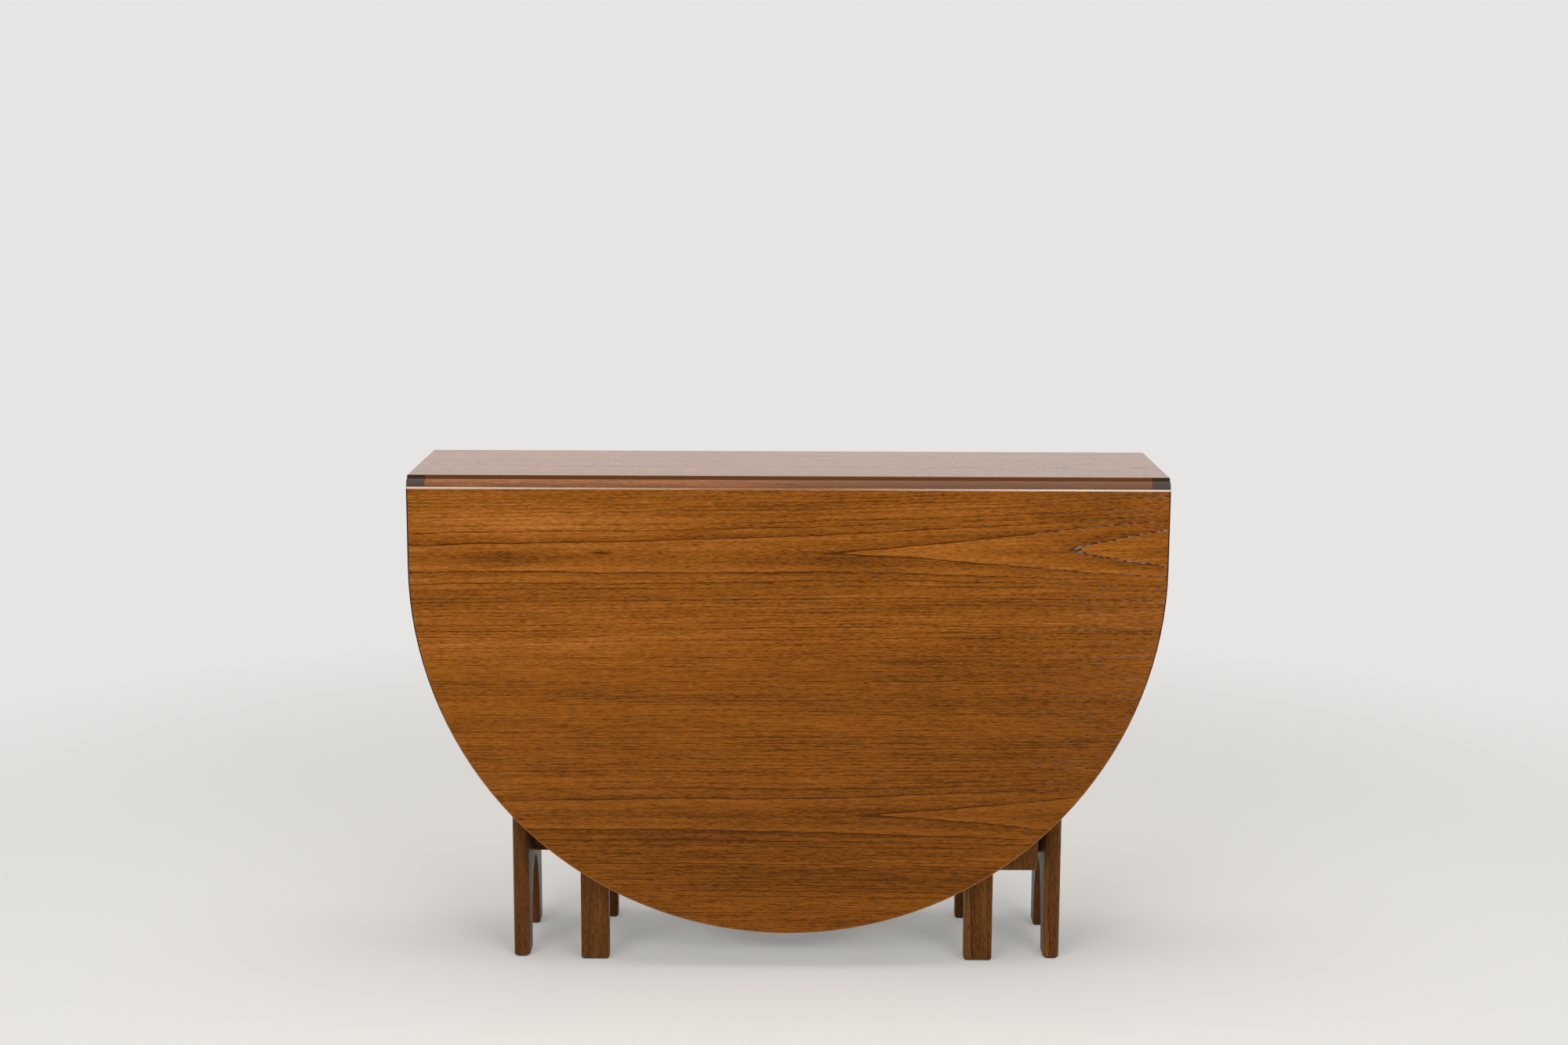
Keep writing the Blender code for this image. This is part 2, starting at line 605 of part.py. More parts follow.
def main():
    """Clear the scene and build the table."""
    for old in list(bpy.data.objects):
        bpy.data.objects.remove(old)
    finishes = {"panel": material("teak_veneer", (0.28, 0.115, 0.030), 0.35),
                "wood": material("solid_teak", (0.17, 0.070, 0.024), 0.45),
                "steel": material("zinc_plated_steel", (0.55, 0.53, 0.48), 0.40, 1.0)}
    build_frame(finishes)
    meshes = side_meshes()
    build_side("front", Matrix(), {"left": "left", "right": "right"}, meshes, finishes)
    build_side("rear", HALF_TURN, {"left": "right", "right": "left"}, meshes, finishes)


main()
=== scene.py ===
"""Looks of a drop-leaf gate-leg dining table: its teak, its plated fittings, its screws and a plain
studio, built around the packed model. Metres, +Z up, front towards -Y."""

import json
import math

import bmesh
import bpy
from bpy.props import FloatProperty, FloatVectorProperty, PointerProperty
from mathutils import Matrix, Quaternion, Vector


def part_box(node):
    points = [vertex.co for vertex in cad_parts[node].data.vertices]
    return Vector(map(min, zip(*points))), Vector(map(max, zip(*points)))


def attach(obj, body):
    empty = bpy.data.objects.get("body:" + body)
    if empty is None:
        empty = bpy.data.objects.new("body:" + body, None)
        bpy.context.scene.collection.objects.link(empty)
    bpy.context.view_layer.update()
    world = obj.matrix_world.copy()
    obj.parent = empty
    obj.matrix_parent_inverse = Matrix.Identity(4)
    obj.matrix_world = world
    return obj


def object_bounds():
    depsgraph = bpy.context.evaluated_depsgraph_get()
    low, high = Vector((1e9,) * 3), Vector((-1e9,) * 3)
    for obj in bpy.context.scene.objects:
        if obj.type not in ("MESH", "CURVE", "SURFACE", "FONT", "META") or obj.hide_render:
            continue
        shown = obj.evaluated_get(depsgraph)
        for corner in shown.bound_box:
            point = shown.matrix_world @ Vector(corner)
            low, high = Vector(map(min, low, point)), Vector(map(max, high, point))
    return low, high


bl_info = {
    "name": "Gate-Leg Table Looks",
    "version": (1, 0, 0),
    "blender": (4, 5, 0),
    "location": "3D View > Sidebar > Table",
    "description": "Teak, plated fittings, screws and a studio for a drop-leaf gate-leg table",
    "category": "Object",
}

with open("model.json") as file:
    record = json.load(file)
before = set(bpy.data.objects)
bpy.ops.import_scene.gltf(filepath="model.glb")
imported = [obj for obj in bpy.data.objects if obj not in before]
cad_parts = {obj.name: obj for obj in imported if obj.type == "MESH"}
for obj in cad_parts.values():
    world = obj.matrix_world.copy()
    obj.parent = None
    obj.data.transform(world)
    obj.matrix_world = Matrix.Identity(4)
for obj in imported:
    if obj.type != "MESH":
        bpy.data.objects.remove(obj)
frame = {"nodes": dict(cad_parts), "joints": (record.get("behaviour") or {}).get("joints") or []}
CAD_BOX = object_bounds()
NODES = frame["nodes"]
JOINT_AT = {joint["name"]: Vector(joint["pos_m"]) for joint in frame["joints"]}

SIDES = {"front": -1, "rear": 1}
HANDS = {"left": -1, "right": 1}
PLACES = ("left", "middle", "right")
LEVELS = ("lower", "upper")
GATE_PIECES = ("far_leg", "near_leg", "stile", "top_rail", "lower_rail")
X_AXIS, Y_AXIS, Z_AXIS = range(3)

# Kinds of node that come up often. A range takes a value, the two ends of where it comes from, and the two
# ends of where it goes. A mix has sockets of its own for numbers and for colours.
MATH = "ShaderNodeMath"
VECTOR = "ShaderNodeVectorMath"
NOISE = "ShaderNodeTexNoise"
COMBINE = "ShaderNodeCombineXYZ"
SEPARATE = "ShaderNodeSeparateXYZ"
RANGE = "ShaderNodeMapRange"
MIX = "ShaderNodeMix"
FACTOR, FIRST, SECOND = 0, 6, 7
FIRST_NUMBER, SECOND_NUMBER = 2, 3
NOISE_MEAN = 0.5

# Figure of crown-cut teak: the growth rings lie wide apart on the middle line of a sheet, where they
# close into flames, and close together on its flanks
FLAME_RINGS = 40.0  # rings to a metre across the flames
FLANK_RINGS = 210.0  # more rings to a metre on the flanks
FLAME_HALF = 0.026  # half the width of the flames
FLANK_EASE = 0.040  # how softly the flanks begin
FLAME_ROUND = 0.0025  # of the nose of the first flame
ROUNDER = 0.018  # how much rounder the noses get along the sheet
RING_DRIFT = 0.5  # rings to a metre along the sheet
FLAME_RISE = 5.10  # how fast flames follow each other past the bend
BEND_BEFORE_TIP = 0.066  # from the bend to the tip of the first flame
STRAIGHT_RUN = 1.0  # solid pieces are cut this far before the flames, from straight rings
RING_LINE = 0.0021  # width of a ring line on the side of a flame
NOSE_LINE = 0.022  # length of a ring line at the tip of a flame
LINE_CORE = 0.5  # share of a ring line at full strength
FLANK_LINE = 0.4  # strength of the strongest ring lines on the flanks
UPPER_SLOPE = 0.018  # climb of the middle line of a sheet to the right
LOWER_SLOPE = 0.002
LOWER_FIGURE = 0.8  # the lower sheet of a leaf is quieter, and its mean tone lies a little lower
LOWER_TONE = 0.036
LOWER_SHEET = 3.0  # sheets lie this far into the noises, so that no two are alike
TOP_SHEET = 7.0
TOP_ALONG = 0.25  # the top's sheet is cut this far on along and across the figure
TOP_ACROSS = 0.035

# Features of the grain, in millimetres along and across it. Pores are a third of a millimetre wide on
# real teak and wouldn't show, so pores and streaks are drawn coarser.
GRAIN_SWAY = (450, 110)
GRAIN_RIPPLE = (45, 12)
STRIPE = (700, 26)
BAND = (170, 5)
STREAK = (40, 1.6)
PORE = (10, 1.1)
DASH = (8, 2)
FEATURE_ROUGHNESS = 0.6
SWAY_REACH = 0.010  # metres from side to side, at most
RIPPLE_REACH = 0.0045

# Where a noise turns into breaks of the ring lines, pores or dashes
BREAK_SPAN = (0.40, 0.60)
PORE_SPAN = (0.50, 0.64)
DASH_SPAN = (0.50, 0.56)
BROKEN_LINE = 0.35  # what a break leaves of a ring line

# How much each feature lifts or lowers the tone, which runs from 0, dark, to 1, light
MIDDLE_TONE = 0.48
STRIPE_GAIN = 0.5
BAND_GAIN = 0.5
STREAK_GAIN = 0.45
FLECK_GAIN = -0.5
LINE_GAIN = -0.80
SHADE_GAIN = -0.12
PORE_GAIN = -0.17
SOLID_LINE_GAIN = 0.4  # given back on solid teak, where ring lines are fainter

# Marks on the face of a leaf: place to the right and up, half length, half height, darkening
LEAF_MARKS = (
    (-0.43, 0.62, 0.08, 0.013, 0.2),
    (-0.2695, 0.6295, 0.016, 0.0026, 0.45),
    (-0.36, 0.665, 0.17, 0.03, -0.17),
    (0.08, 0.614, 0.11, 0.024, 0.2),
    (0.42, 0.35, 0.32, 0.3, 0.09),
    (0.05, 0.48, 0.3, 0.12, 0.05),
    (0.0, 0.16, 0.45, 0.15, 0.14),
    (-0.45, 0.69, 0.12, 0.025, -0.06),
    (0.46, 0.695, 0.11, 0.035, 0.14),
    (0.06, 0.7, 0.12, 0.025, 0.07),
)

# Edges of a leaf. A turn is the range of a normal's share along one axis.
# Painted glints: pale dashes along the pores at the right end of a leaf
PORE_GLINT_SPAN = (0.30, 0.52)  # to the right of the middle
PORE_GLINT_SHARE = 0.7
STRIP_BLUR = 0.0004
# The strip's colour on the face is painted light and shade: pale highlight round the end, dark shade at the
# straight edges
SHADED_SIDE_SPAN = (0.85, 0.98)  # shares of half a leaf's length: the strip there is upright and dark
FACE_TURN = (0.10, 0.35)
RUBBED_TURN = (0.05, 0.35)
# A painted highlight on the rounded upper edge of a leaf, pale towards its corners
HIGHLIGHT_FADE_TURN = (0.70, 0.95)
HIGHLIGHT_AT_TOP = 0.2
HIGHLIGHT_SPAN = (0.15, 0.9)  # shares of half a leaf's length
LEAST_HIGHLIGHT = 0.1
MORE_HIGHLIGHT_RIGHT = 0.2

# Edges of the top, and the ends of solid pieces
TOP_END_TURN = 0.7
MOULDING_LEAD = 0.0002  # the moulding's wood starts this far before its arris
EDGING_SPAN = (0.5, 2.0)  # a third of the edging's colour on the moulding, all of it on the fillet
DARKER_SPAN = (-0.15, 0.15)  # from the middle: the moulding gets darker to the right
DARKER_SHARE = 0.55
LIPPING_END_TURN = (0.10, 0.30)
LIPPING_END_SHARE = 0.95
SOLID_END_TURN = (0.30, 0.75)
SOLID_END_SHARE = 0.85

# Cuts of solid teak: axis of the grain, place of the heart on the other two axes, radius of the rings
# where they meet the piece, and their slant
CUTS = {
    "stop": (X_AXIS, (0.3, 0.3), 0.3, 0.05),
    "leg_board": (Z_AXIS, (0.25, 0.02), 0.17, 0.03),
    "rail": (X_AXIS, (0.2, 0.4), 0.25, 0.02),
    "cleat": (Y_AXIS, (0.2, 0.5), 0.2, 0.05),
    "gate_leg": (Z_AXIS, (0.10, 0.03), 0.21, 0.04),
    "gate_rail": (X_AXIS, (0.1, 0.35), 0.2, 0.02),
}

# Satin lacquer over teak
LACQUER_TINT = (0.32, 0.22, 0.06, 1.0)
VENEER_TINT = (0.15, 0.06, 0.0, 1.0)
MOULDING_TINT = (1.0, 0.96, 0.92, 1.0)
LACQUER_IOR = 1.65
VENEER_COAT = 0.65
COAT_ROUGHNESS = 0.20
COAT_IOR = 1.25
VENEER_ROUGHNESS = 0.24
MOULDING_ROUGHNESS = 0.20
EDGE_ROUGHNESS = 0.60
SOLID_ROUGHNESS = 0.40
PORE_ROUGHNESS = 0.12
PORE_DEPTH = 0.0002
LINE_DEPTH = 0.5  # share of a pore's depth
LEAF_RELIEF = 0.15
TOP_RELIEF = 0.05
SOLID_RELIEF = 0.25

# Zinc plate: clouds and brushing in millimetres
CLOUD = 9
CLOUD_SPAN = (0.40, 0.65)
ZINC_ROUGHNESS = (0.26, 0.50)
BRUSHING = (12, 0.3)
BRUSHING_RELIEF = 0.15
BRUSHING_DEPTH = 0.00005

# Screws
SCREW_EDGE = 0.0002
SCREW_STEPS = 24
SLOT_TURN = 1.9  # from one slot to the next, in radians
CLEAT_ROWS = (0.25, 0.75)  # shares of a cleat's length

# Studio
PAINT_CLOUDS = 1.2  # to a metre
PAINT_SHADES = (0.97, 1.0)
NEAR_GLOW = 0.3  # share of the even tone beside the table
SWEEP_STEPS = 16
FLOOR_STEPS = 96
LAMP_AIM = Vector((0, 0, 0.45))
WHITE = (1.0, 1.0, 1.0, 1.0)

WELD = 0.00001
SMOOTH_ANGLE = math.radians(38)
BEVEL_ANGLE = math.radians(45)
HALF_TURN, QUARTER_TURN = math.pi, math.pi / 2


def linear(hex_colour):
    """An sRGB hex colour as linear values with full alpha."""
    parts = [int(hex_colour[at:at + 2], 16) / 255 for at in (1, 3, 5)]
    return (*(part / 12.92 if part <= 0.04045 else ((part + 0.055) / 1.055) ** 2.4 for part in parts), 1.0)


def colour(name, description, hex_colour):
    """A colour that a user can change."""
    return FloatVectorProperty(name=name, description=description, subtype="COLOR", size=4,
                               min=0.0, max=1.0, default=linear(hex_colour))


def measure(name, description, value, unit="LENGTH"):
    """A length that a user can change, or a number with another unit."""
    return FloatProperty(name=name, description=description, unit=unit, default=value)


class TeakLooks(bpy.types.PropertyGroup):
    """Colours and figure of the teak."""
    veneer_dark: colour("Veneer Dark", "Streaks and pores of the veneer", "#442200")
    veneer_mid: colour("Veneer Mid", "Body colour of the veneer", "#884D10")
    veneer_light: colour("Veneer Light", "Palest stripes of the veneer", "#B87436")
    # The pale rounded upper edge of a leaf is a painted highlight
    lip_highlight: colour("Worn Lip", "Rounded upper edge of a leaf near its corners", "#CABDB2")
    # The pale dashes in the pores are painted glints
    pore_glint: colour("Pore Wax", "Polish left in the open pores at the right end of a leaf", "#A89488")
    solid_dark: colour("Solid Dark", "Streaks of the solid teak", "#2B170A")
    solid_mid: colour("Solid Mid", "Body colour of the solid teak", "#5C3518")
    solid_light: colour("Solid Light", "Palest stripes of the solid teak", "#82532B")
    end_grain: colour("End Grain", "Cut ends of the solid teak", "#2B211B")
    seam_height: measure("Seam Height", "Where the two veneer sheets of a leaf meet, above the floor", 0.463)
    upper_flame: measure("Upper Flame", "Middle of the upper sheet's flames, above the floor", 0.630)
    lower_flame: measure("Lower Flame", "Middle of the lower sheet's flames, above the floor", 0.2385)
    flame_tip: measure("Flame Tip", "Tip of the upper sheet's long flame, to the right of the middle", 0.080)
    sheet_slip: measure("Sheet Slip", "How far the lower sheet is slipped along the upper one", 0.0560)
    lipping: measure("Edge Lipping", "Strip glued round the edge of a leaf", 0.002)
    fillet: measure("Fillet", "Dark upright strip over the moulding of the top", 0.0055)
    arris: measure("Arris", "Easing of the sharp edges of rails and boards", 0.0007)


class FittingLooks(bpy.types.PropertyGroup):
    """Colours and sizes of the fittings."""
    zinc: colour("Zinc Plate", "Hinges and screws", "#B9B4A6")
    zinc_dull: colour("Dull Zinc", "Where the plate has dulled", "#8B867B")
    screw_head: measure("Screw Head", "Radius of a screw's countersunk head", 0.0030)
    screw_sink: measure("Screw Sink", "Depth of a screw's head", 0.0013)
    screw_shank: measure("Screw Shank", "Radius of a screw's shank", 0.0014)
    screw_length: measure("Screw Length", "From head to tip", 0.0120)
    slot_width: measure("Screw Slot", "Width of a screw's slot", 0.0009)
    slot_depth: measure("Slot Depth", "Depth of a screw's slot", 0.0006)


class StudioLooks(bpy.types.PropertyGroup):
    """Floor, lights and camera."""
    floor: colour("Floor", "Plain pale floor and backdrop", "#E9E6E1")
    backdrop: colour("Backdrop", "What the camera sees far behind the table", "#E6E5E3")
    floor_radius: measure("Floor Radius", "Flat part of the floor", 3.8)
    sweep: measure("Sweep", "Radius of the curve from floor to wall", 1.4)
    wall_top: measure("Wall Top", "Height of the wall", 4.0)
    near_floor: measure("Near Floor", "Floor that keeps the table's shadow, from the middle", 0.7)
    far_floor: measure("Far Floor", "Where the even tone of the backdrop begins, from the middle", 2.4)
    lamp_power: measure("Lamp Power", "Each soft box", 58.0, "POWER")
    lamp_side: measure("Lamp Side", "Soft boxes to the left and right of the middle", 1.85)
    lamp_front: measure("Lamp Front", "Soft boxes in front of the middle", 3.3)
    lamp_height: measure("Lamp Height", "Soft boxes above the floor", 1.95)
    lamp_width: measure("Lamp Width", "Long side of a soft box", 2.2)
    lamp_drop: measure("Lamp Drop", "Short side of a soft box", 0.5)
    ceiling_power: measure("Ceiling Power", "Light from the ceiling", 46.0, "POWER")
    ceiling_width: measure("Ceiling Width", "Side of the lit square of the ceiling", 2.4)
    ceiling_height: measure("Ceiling Height", "Lit square of the ceiling above the floor", 2.8)
    fill: measure("Fill", "Strength of the light from all round", 0.26, "NONE")
    camera_at: FloatVectorProperty(name="Camera", description="Place of the camera", subtype="TRANSLATION",
                                   unit="LENGTH", default=(-0.0007, -3.4833, 1.2444))
    camera_down: measure("Camera Down", "Tilt below the horizon", math.radians(9.683), "ROTATION")
    camera_aside: measure("Camera Aside", "Turn about the upright", math.radians(0.092), "ROTATION")
    camera_roll: measure("Camera Roll", "Turn about the view", math.radians(0.223), "ROTATION")
    lens: measure("Lens", "Focal length", 54.0, "CAMERA")


def add(tree, kind, inputs=(), operation=None, **settings):
    """One node with its operation and settings. Inputs are a list in the sockets' order, or given by socket.
    Each is a fixed value, a socket, or a node, which stands for its first live output."""
    made = tree.nodes.new(kind)
    if operation:
        made.operation = operation
    for name, value in settings.items():
        setattr(made, name, value)
    for socket, value in inputs.items() if isinstance(inputs, dict) else enumerate(inputs):
        if isinstance(value, bpy.types.Node):
            value = next(output for output in value.outputs if output.enabled)
        if isinstance(value, bpy.types.NodeSocket):
            tree.links.new(value, made.inputs[socket])
        else:
            made.inputs[socket].default_value = value
    return made


def grain_scale(along_mm, across_mm):
    """Noise scale of a feature drawn out along the grain, from its real size."""
    return (1000 / along_mm, 1000 / across_mm, 1000 / across_mm)


def drawn_out(tree, place, feature, detail):
    """A noise at the real size of a feature of the grain."""
    spread = add(tree, VECTOR, [place, grain_scale(*feature)], "MULTIPLY")
    return add(tree, NOISE, {"Vector": spread, "Scale": 1.0, "Detail": detail,
                             "Roughness": FEATURE_ROUGHNESS})


def swayed(tree, place, across):
    """The place across the grain, shifted by the grain's slow sway and its ripple."""
    for feature, reach in ((GRAIN_SWAY, SWAY_REACH), (GRAIN_RIPPLE, RIPPLE_REACH)):
        offset = add(tree, MATH, [drawn_out(tree, place, feature, 2), NOISE_MEAN], "SUBTRACT")
        across = add(tree, MATH, [offset, reach, across], "MULTIPLY_ADD")
    return across


def growth_rings(tree, along, across):
    """The rings counted outwards from the middle line of a sheet, and the places used in the count."""
    away = add(tree, MATH, [across], "ABSOLUTE")
    bend = add(tree, MATH, [along, BEND_BEFORE_TIP], "ADD")
    bend = add(tree, MATH, [bend, 0.0], "MAXIMUM")
    nose = add(tree, MATH, [bend, ROUNDER, FLAME_ROUND], "MULTIPLY_ADD")
    crown_place = add(tree, COMBINE, [away, nose])
    reach = add(tree, VECTOR, [crown_place], "LENGTH")
    crown = add(tree, MATH, [reach, nose], "SUBTRACT")
    beyond = add(tree, MATH, [away, FLAME_HALF], "SUBTRACT")
    flank = add(tree, MATH, [beyond, 0.0], "MAXIMUM")
    flank_place = add(tree, COMBINE, [flank, FLANK_EASE])
    flank_reach = add(tree, VECTOR, [flank_place], "LENGTH")
    climb = add(tree, MATH, [bend, bend], "MULTIPLY")
    count = FLAME_RISE * BEND_BEFORE_TIP ** 2 - FLANK_EASE * FLANK_RINGS
    for distance, rings in ((crown, FLAME_RINGS), (flank_reach, FLANK_RINGS), (along, -RING_DRIFT),
                            (climb, -FLAME_RISE)):
        count = add(tree, MATH, [distance, rings, count], "MULTIPLY_ADD")
    return count, away, bend, reach, flank, flank_reach


def ring_lines(tree, along, across):
    """The thin dark row of pores that starts each ring, as wide on the flanks as across a flame, and the
    slow shade across the ring: the wood just outside a line is darker, and just inside it paler."""
    count, away, bend, reach, flank, flank_reach = growth_rings(tree, along, across)
    ring = add(tree, MATH, [count], "FLOOR")
    within = add(tree, MATH, [count, ring], "SUBTRACT")
    chance = add(tree, "ShaderNodeTexWhiteNoise", {"W": ring}, noise_dimensions="1D")
    steep = add(tree, MATH, [flank, flank_reach], "DIVIDE")
    steep = add(tree, MATH, [steep, FLANK_RINGS, FLAME_RINGS], "MULTIPLY_ADD")
    side_width = add(tree, MATH, [steep, RING_LINE], "MULTIPLY")
    nose_width = add(tree, MATH, [bend, 2 * FLAME_RISE * NOSE_LINE, RING_DRIFT * NOSE_LINE],
                     "MULTIPLY_ADD")
    off_axis = add(tree, MATH, [away, reach], "DIVIDE")
    width = add(tree, MIX, {FACTOR: off_axis, FIRST_NUMBER: nose_width, SECOND_NUMBER: side_width})
    line = add(tree, MATH, [within, width], "DIVIDE")
    line = add(tree, RANGE, [line, LINE_CORE, 1.0, 1.0, 0.0])
    on_flank = add(tree, RANGE, [chance, 0, 1, 0.0, FLANK_LINE])
    on_flame = add(tree, RANGE, [flank, 0.0, FLAME_HALF, 1.0, 0.0])
    weight = add(tree, MATH, [on_flank, on_flame], "MAXIMUM")
    line = add(tree, MATH, [line, weight], "MULTIPLY")
    shade = add(tree, RANGE, [within, 0, 1, 1.0, -1.0], interpolation_type="SMOOTHSTEP")
    shade = add(tree, MATH, [shade, weight], "MULTIPLY")
    return line, shade


def teak_figure():
    """The figure of crown-cut teak as a node group, for places in metres along, across and into it."""
    name = "crown_cut_teak_figure"
    if name in bpy.data.node_groups:
        return bpy.data.node_groups[name]
    tree = bpy.data.node_groups.new(name, "ShaderNodeTree")
    for way, sockets in (("INPUT", ("Along", "Across", "Depth")),
                         ("OUTPUT", ("Tone", "Line", "Pore", "Dash"))):
        for socket in sockets:
            tree.interface.new_socket(socket, in_out=way, socket_type="NodeSocketFloat")
    given = add(tree, "NodeGroupInput").outputs
    place = add(tree, COMBINE, [given["Along"], given["Across"], given["Depth"]])
    line, shade = ring_lines(tree, given["Along"], swayed(tree, place, given["Across"]))

    streak = drawn_out(tree, place, STREAK, 2)
    broken = add(tree, RANGE, [streak, *BREAK_SPAN, 1.0, BROKEN_LINE])
    line = add(tree, MATH, [line, broken], "MULTIPLY")
    fleck = drawn_out(tree, place, PORE, 1)
    pore = add(tree, RANGE, [fleck, *PORE_SPAN])
    dash = add(tree, RANGE, [drawn_out(tree, place, DASH, 0), *DASH_SPAN])
    dash = add(tree, MATH, [dash, line], "MULTIPLY")

    stripe, band = drawn_out(tree, place, STRIPE, 2), drawn_out(tree, place, BAND, 2)
    tone = MIDDLE_TONE
    for feature, gain in ((stripe, STRIPE_GAIN), (band, BAND_GAIN), (streak, STREAK_GAIN),
                          (fleck, FLECK_GAIN)):
        shifted = add(tree, MATH, [feature, NOISE_MEAN], "SUBTRACT")
        tone = add(tree, MATH, [shifted, gain, tone], "MULTIPLY_ADD")
    for mark, gain in ((line, LINE_GAIN), (shade, SHADE_GAIN), (pore, PORE_GAIN)):
        tone = add(tree, MATH, [mark, gain, tone], "MULTIPLY_ADD")
    add(tree, "NodeGroupOutput", {"Tone": tone, "Line": line, "Pore": pore, "Dash": dash})
    return tree


def new_material(name):
    """An empty node material, and its tree."""
    made = bpy.data.materials.new(name)
    made.use_nodes = True
    tree = made.node_tree
    tree.nodes.clear()
    return made, tree


def on_surface(tree):
    """The place of a point on the surface and the way it faces there, each with its three parts."""
    coordinates = add(tree, "ShaderNodeTexCoord").outputs
    return [add(tree, SEPARATE, [coordinates[kind]]).outputs for kind in ("Object", "Normal")]


def figured(tree, along, across, depth):
    """The figure of teak at a place in the wood."""
    return add(tree, "ShaderNodeGroup", {"Along": along, "Across": across, "Depth": depth},
               node_tree=teak_figure())


def three_tones(tree, tone, dark, mid, light):
    """A colour that runs from dark through mid to light."""
    tint = dark
    for start, end, layer in ((0.0, 0.5, mid), (0.5, 1.0, light)):
        cover = add(tree, RANGE, [tone, start, end])
        tint = add(tree, MIX, {FACTOR: cover, FIRST: tint, SECOND: layer}, data_type="RGBA")
    return tint


def satin_lacquer(tree, tint, figure, roughness, glint=LACQUER_TINT, relief=SOLID_RELIEF, coat=0.0):
    """A thin satin lacquer over a tint: soft sheen, with the pores and ring lines still open."""
    line, pore = figure.outputs["Line"], figure.outputs["Pore"]
    dent = add(tree, MATH, [line, LINE_DEPTH, pore], "MULTIPLY_ADD")
    bump = add(tree, "ShaderNodeBump", {"Height": dent, "Strength": relief, "Distance": PORE_DEPTH},
               invert=True)
    gloss = add(tree, MATH, [pore, PORE_ROUGHNESS, roughness], "MULTIPLY_ADD")
    shader = add(tree, "ShaderNodeBsdfPrincipled", {
        "Base Color": tint, "Roughness": gloss, "IOR": LACQUER_IOR, "Specular Tint": glint,
        "Normal": bump, "Coat Weight": coat, "Coat Roughness": COAT_ROUGHNESS, "Coat IOR": COAT_IOR})
    add(tree, "ShaderNodeOutputMaterial", {"Surface": shader})


def leaf_figure(tree, looks, place):
    """The figure of a leaf's two sheets, and the tone that it gives them."""
    lower = add(tree, MATH, [place["Z"], looks.seam_height], "LESS_THAN")
    middle = add(tree, RANGE, [lower, 0, 1, -looks.upper_flame, -looks.lower_flame])
    slip = add(tree, MATH, [lower, -looks.sheet_slip, -looks.flame_tip], "MULTIPLY_ADD")
    along = add(tree, MATH, [place["X"], slip], "ADD")
    across = add(tree, MATH, [place["Z"], middle], "ADD")
    slope = add(tree, RANGE, [lower, 0, 1, -UPPER_SLOPE, -LOWER_SLOPE])
    across = add(tree, MATH, [along, slope, across], "MULTIPLY_ADD")
    depth = add(tree, MATH, [lower, LOWER_SHEET, place["Y"]], "MULTIPLY_ADD")
    figure = figured(tree, along, across, depth)
    quieter = add(tree, RANGE, [lower, 0, 1, 1.0, LOWER_FIGURE])
    shift = add(tree, RANGE, [lower, 0, 1, 0.0, LOWER_TONE])
    tone = add(tree, MATH, [figure.outputs["Tone"], quieter, shift], "MULTIPLY_ADD")
    return figure, tone


def leaf_marks(tree, place, tone):
    """The tone of a leaf with its darker and paler marks."""
    face = add(tree, COMBINE, [place["X"], place["Z"]])
    for right, up, half_length, half_height, darkening in LEAF_MARKS:
        offset = add(tree, VECTOR, [face, (right, up, 0)], "SUBTRACT")
        scaled = add(tree, VECTOR, [offset, (half_length, half_height, 1)], "DIVIDE")
        square = add(tree, VECTOR, [scaled, scaled], "DOT_PRODUCT")
        fade = add(tree, MATH, [math.exp(-1), square], "POWER")
        tone = add(tree, MATH, [fade, -darkening, tone], "MULTIPLY_ADD")
    return tone


def leaf_strip(tree, looks, place, aside, low, half):
    """The strip glued round a leaf, and its colour on the face: a pale painted highlight round the
    half-round end, and a dark line of painted shade at the straight edges."""
    below = add(tree, MATH, [place["Z"], low.z + half], "SUBTRACT")
    below = add(tree, MATH, [below, 0.0], "MINIMUM")
    outline = add(tree, COMBINE, [place["X"], below])
    radius = add(tree, VECTOR, [outline], "LENGTH")
    inner = half - looks.lipping
    strip = add(tree, RANGE, [radius, inner - STRIP_BLUR, inner])
    upright = add(tree, RANGE, [aside, *(part * half for part in SHADED_SIDE_SPAN)])
    painted_rim = add(tree, MIX, {FACTOR: upright, FIRST: looks.solid_light, SECOND: looks.solid_dark},
                 data_type="RGBA")
    return strip, painted_rim


def leaf_lip(tree, place, aside, facing, half):
    """How far the rounded upper edge of a leaf is rubbed to a shine, and how far a painted highlight
    lightens it: most towards the corners, a little more to the right, and less where the edge faces up."""
    rubbed = add(tree, RANGE, [facing["Z"], *RUBBED_TURN])
    highlight_fade = add(tree, RANGE, [facing["Z"], *HIGHLIGHT_FADE_TURN, 1.0, HIGHLIGHT_AT_TOP])
    towards_right = add(tree, MATH, [place["X"], MORE_HIGHLIGHT_RIGHT, aside], "MULTIPLY_ADD")
    painted_highlight = add(tree, RANGE, [towards_right, *(part * half for part in HIGHLIGHT_SPAN), LEAST_HIGHLIGHT, 1.0])
    painted_highlight = add(tree, MATH, [painted_highlight, rubbed], "MULTIPLY")
    painted_highlight = add(tree, MATH, [painted_highlight, highlight_fade], "MULTIPLY")
    return rubbed, painted_highlight


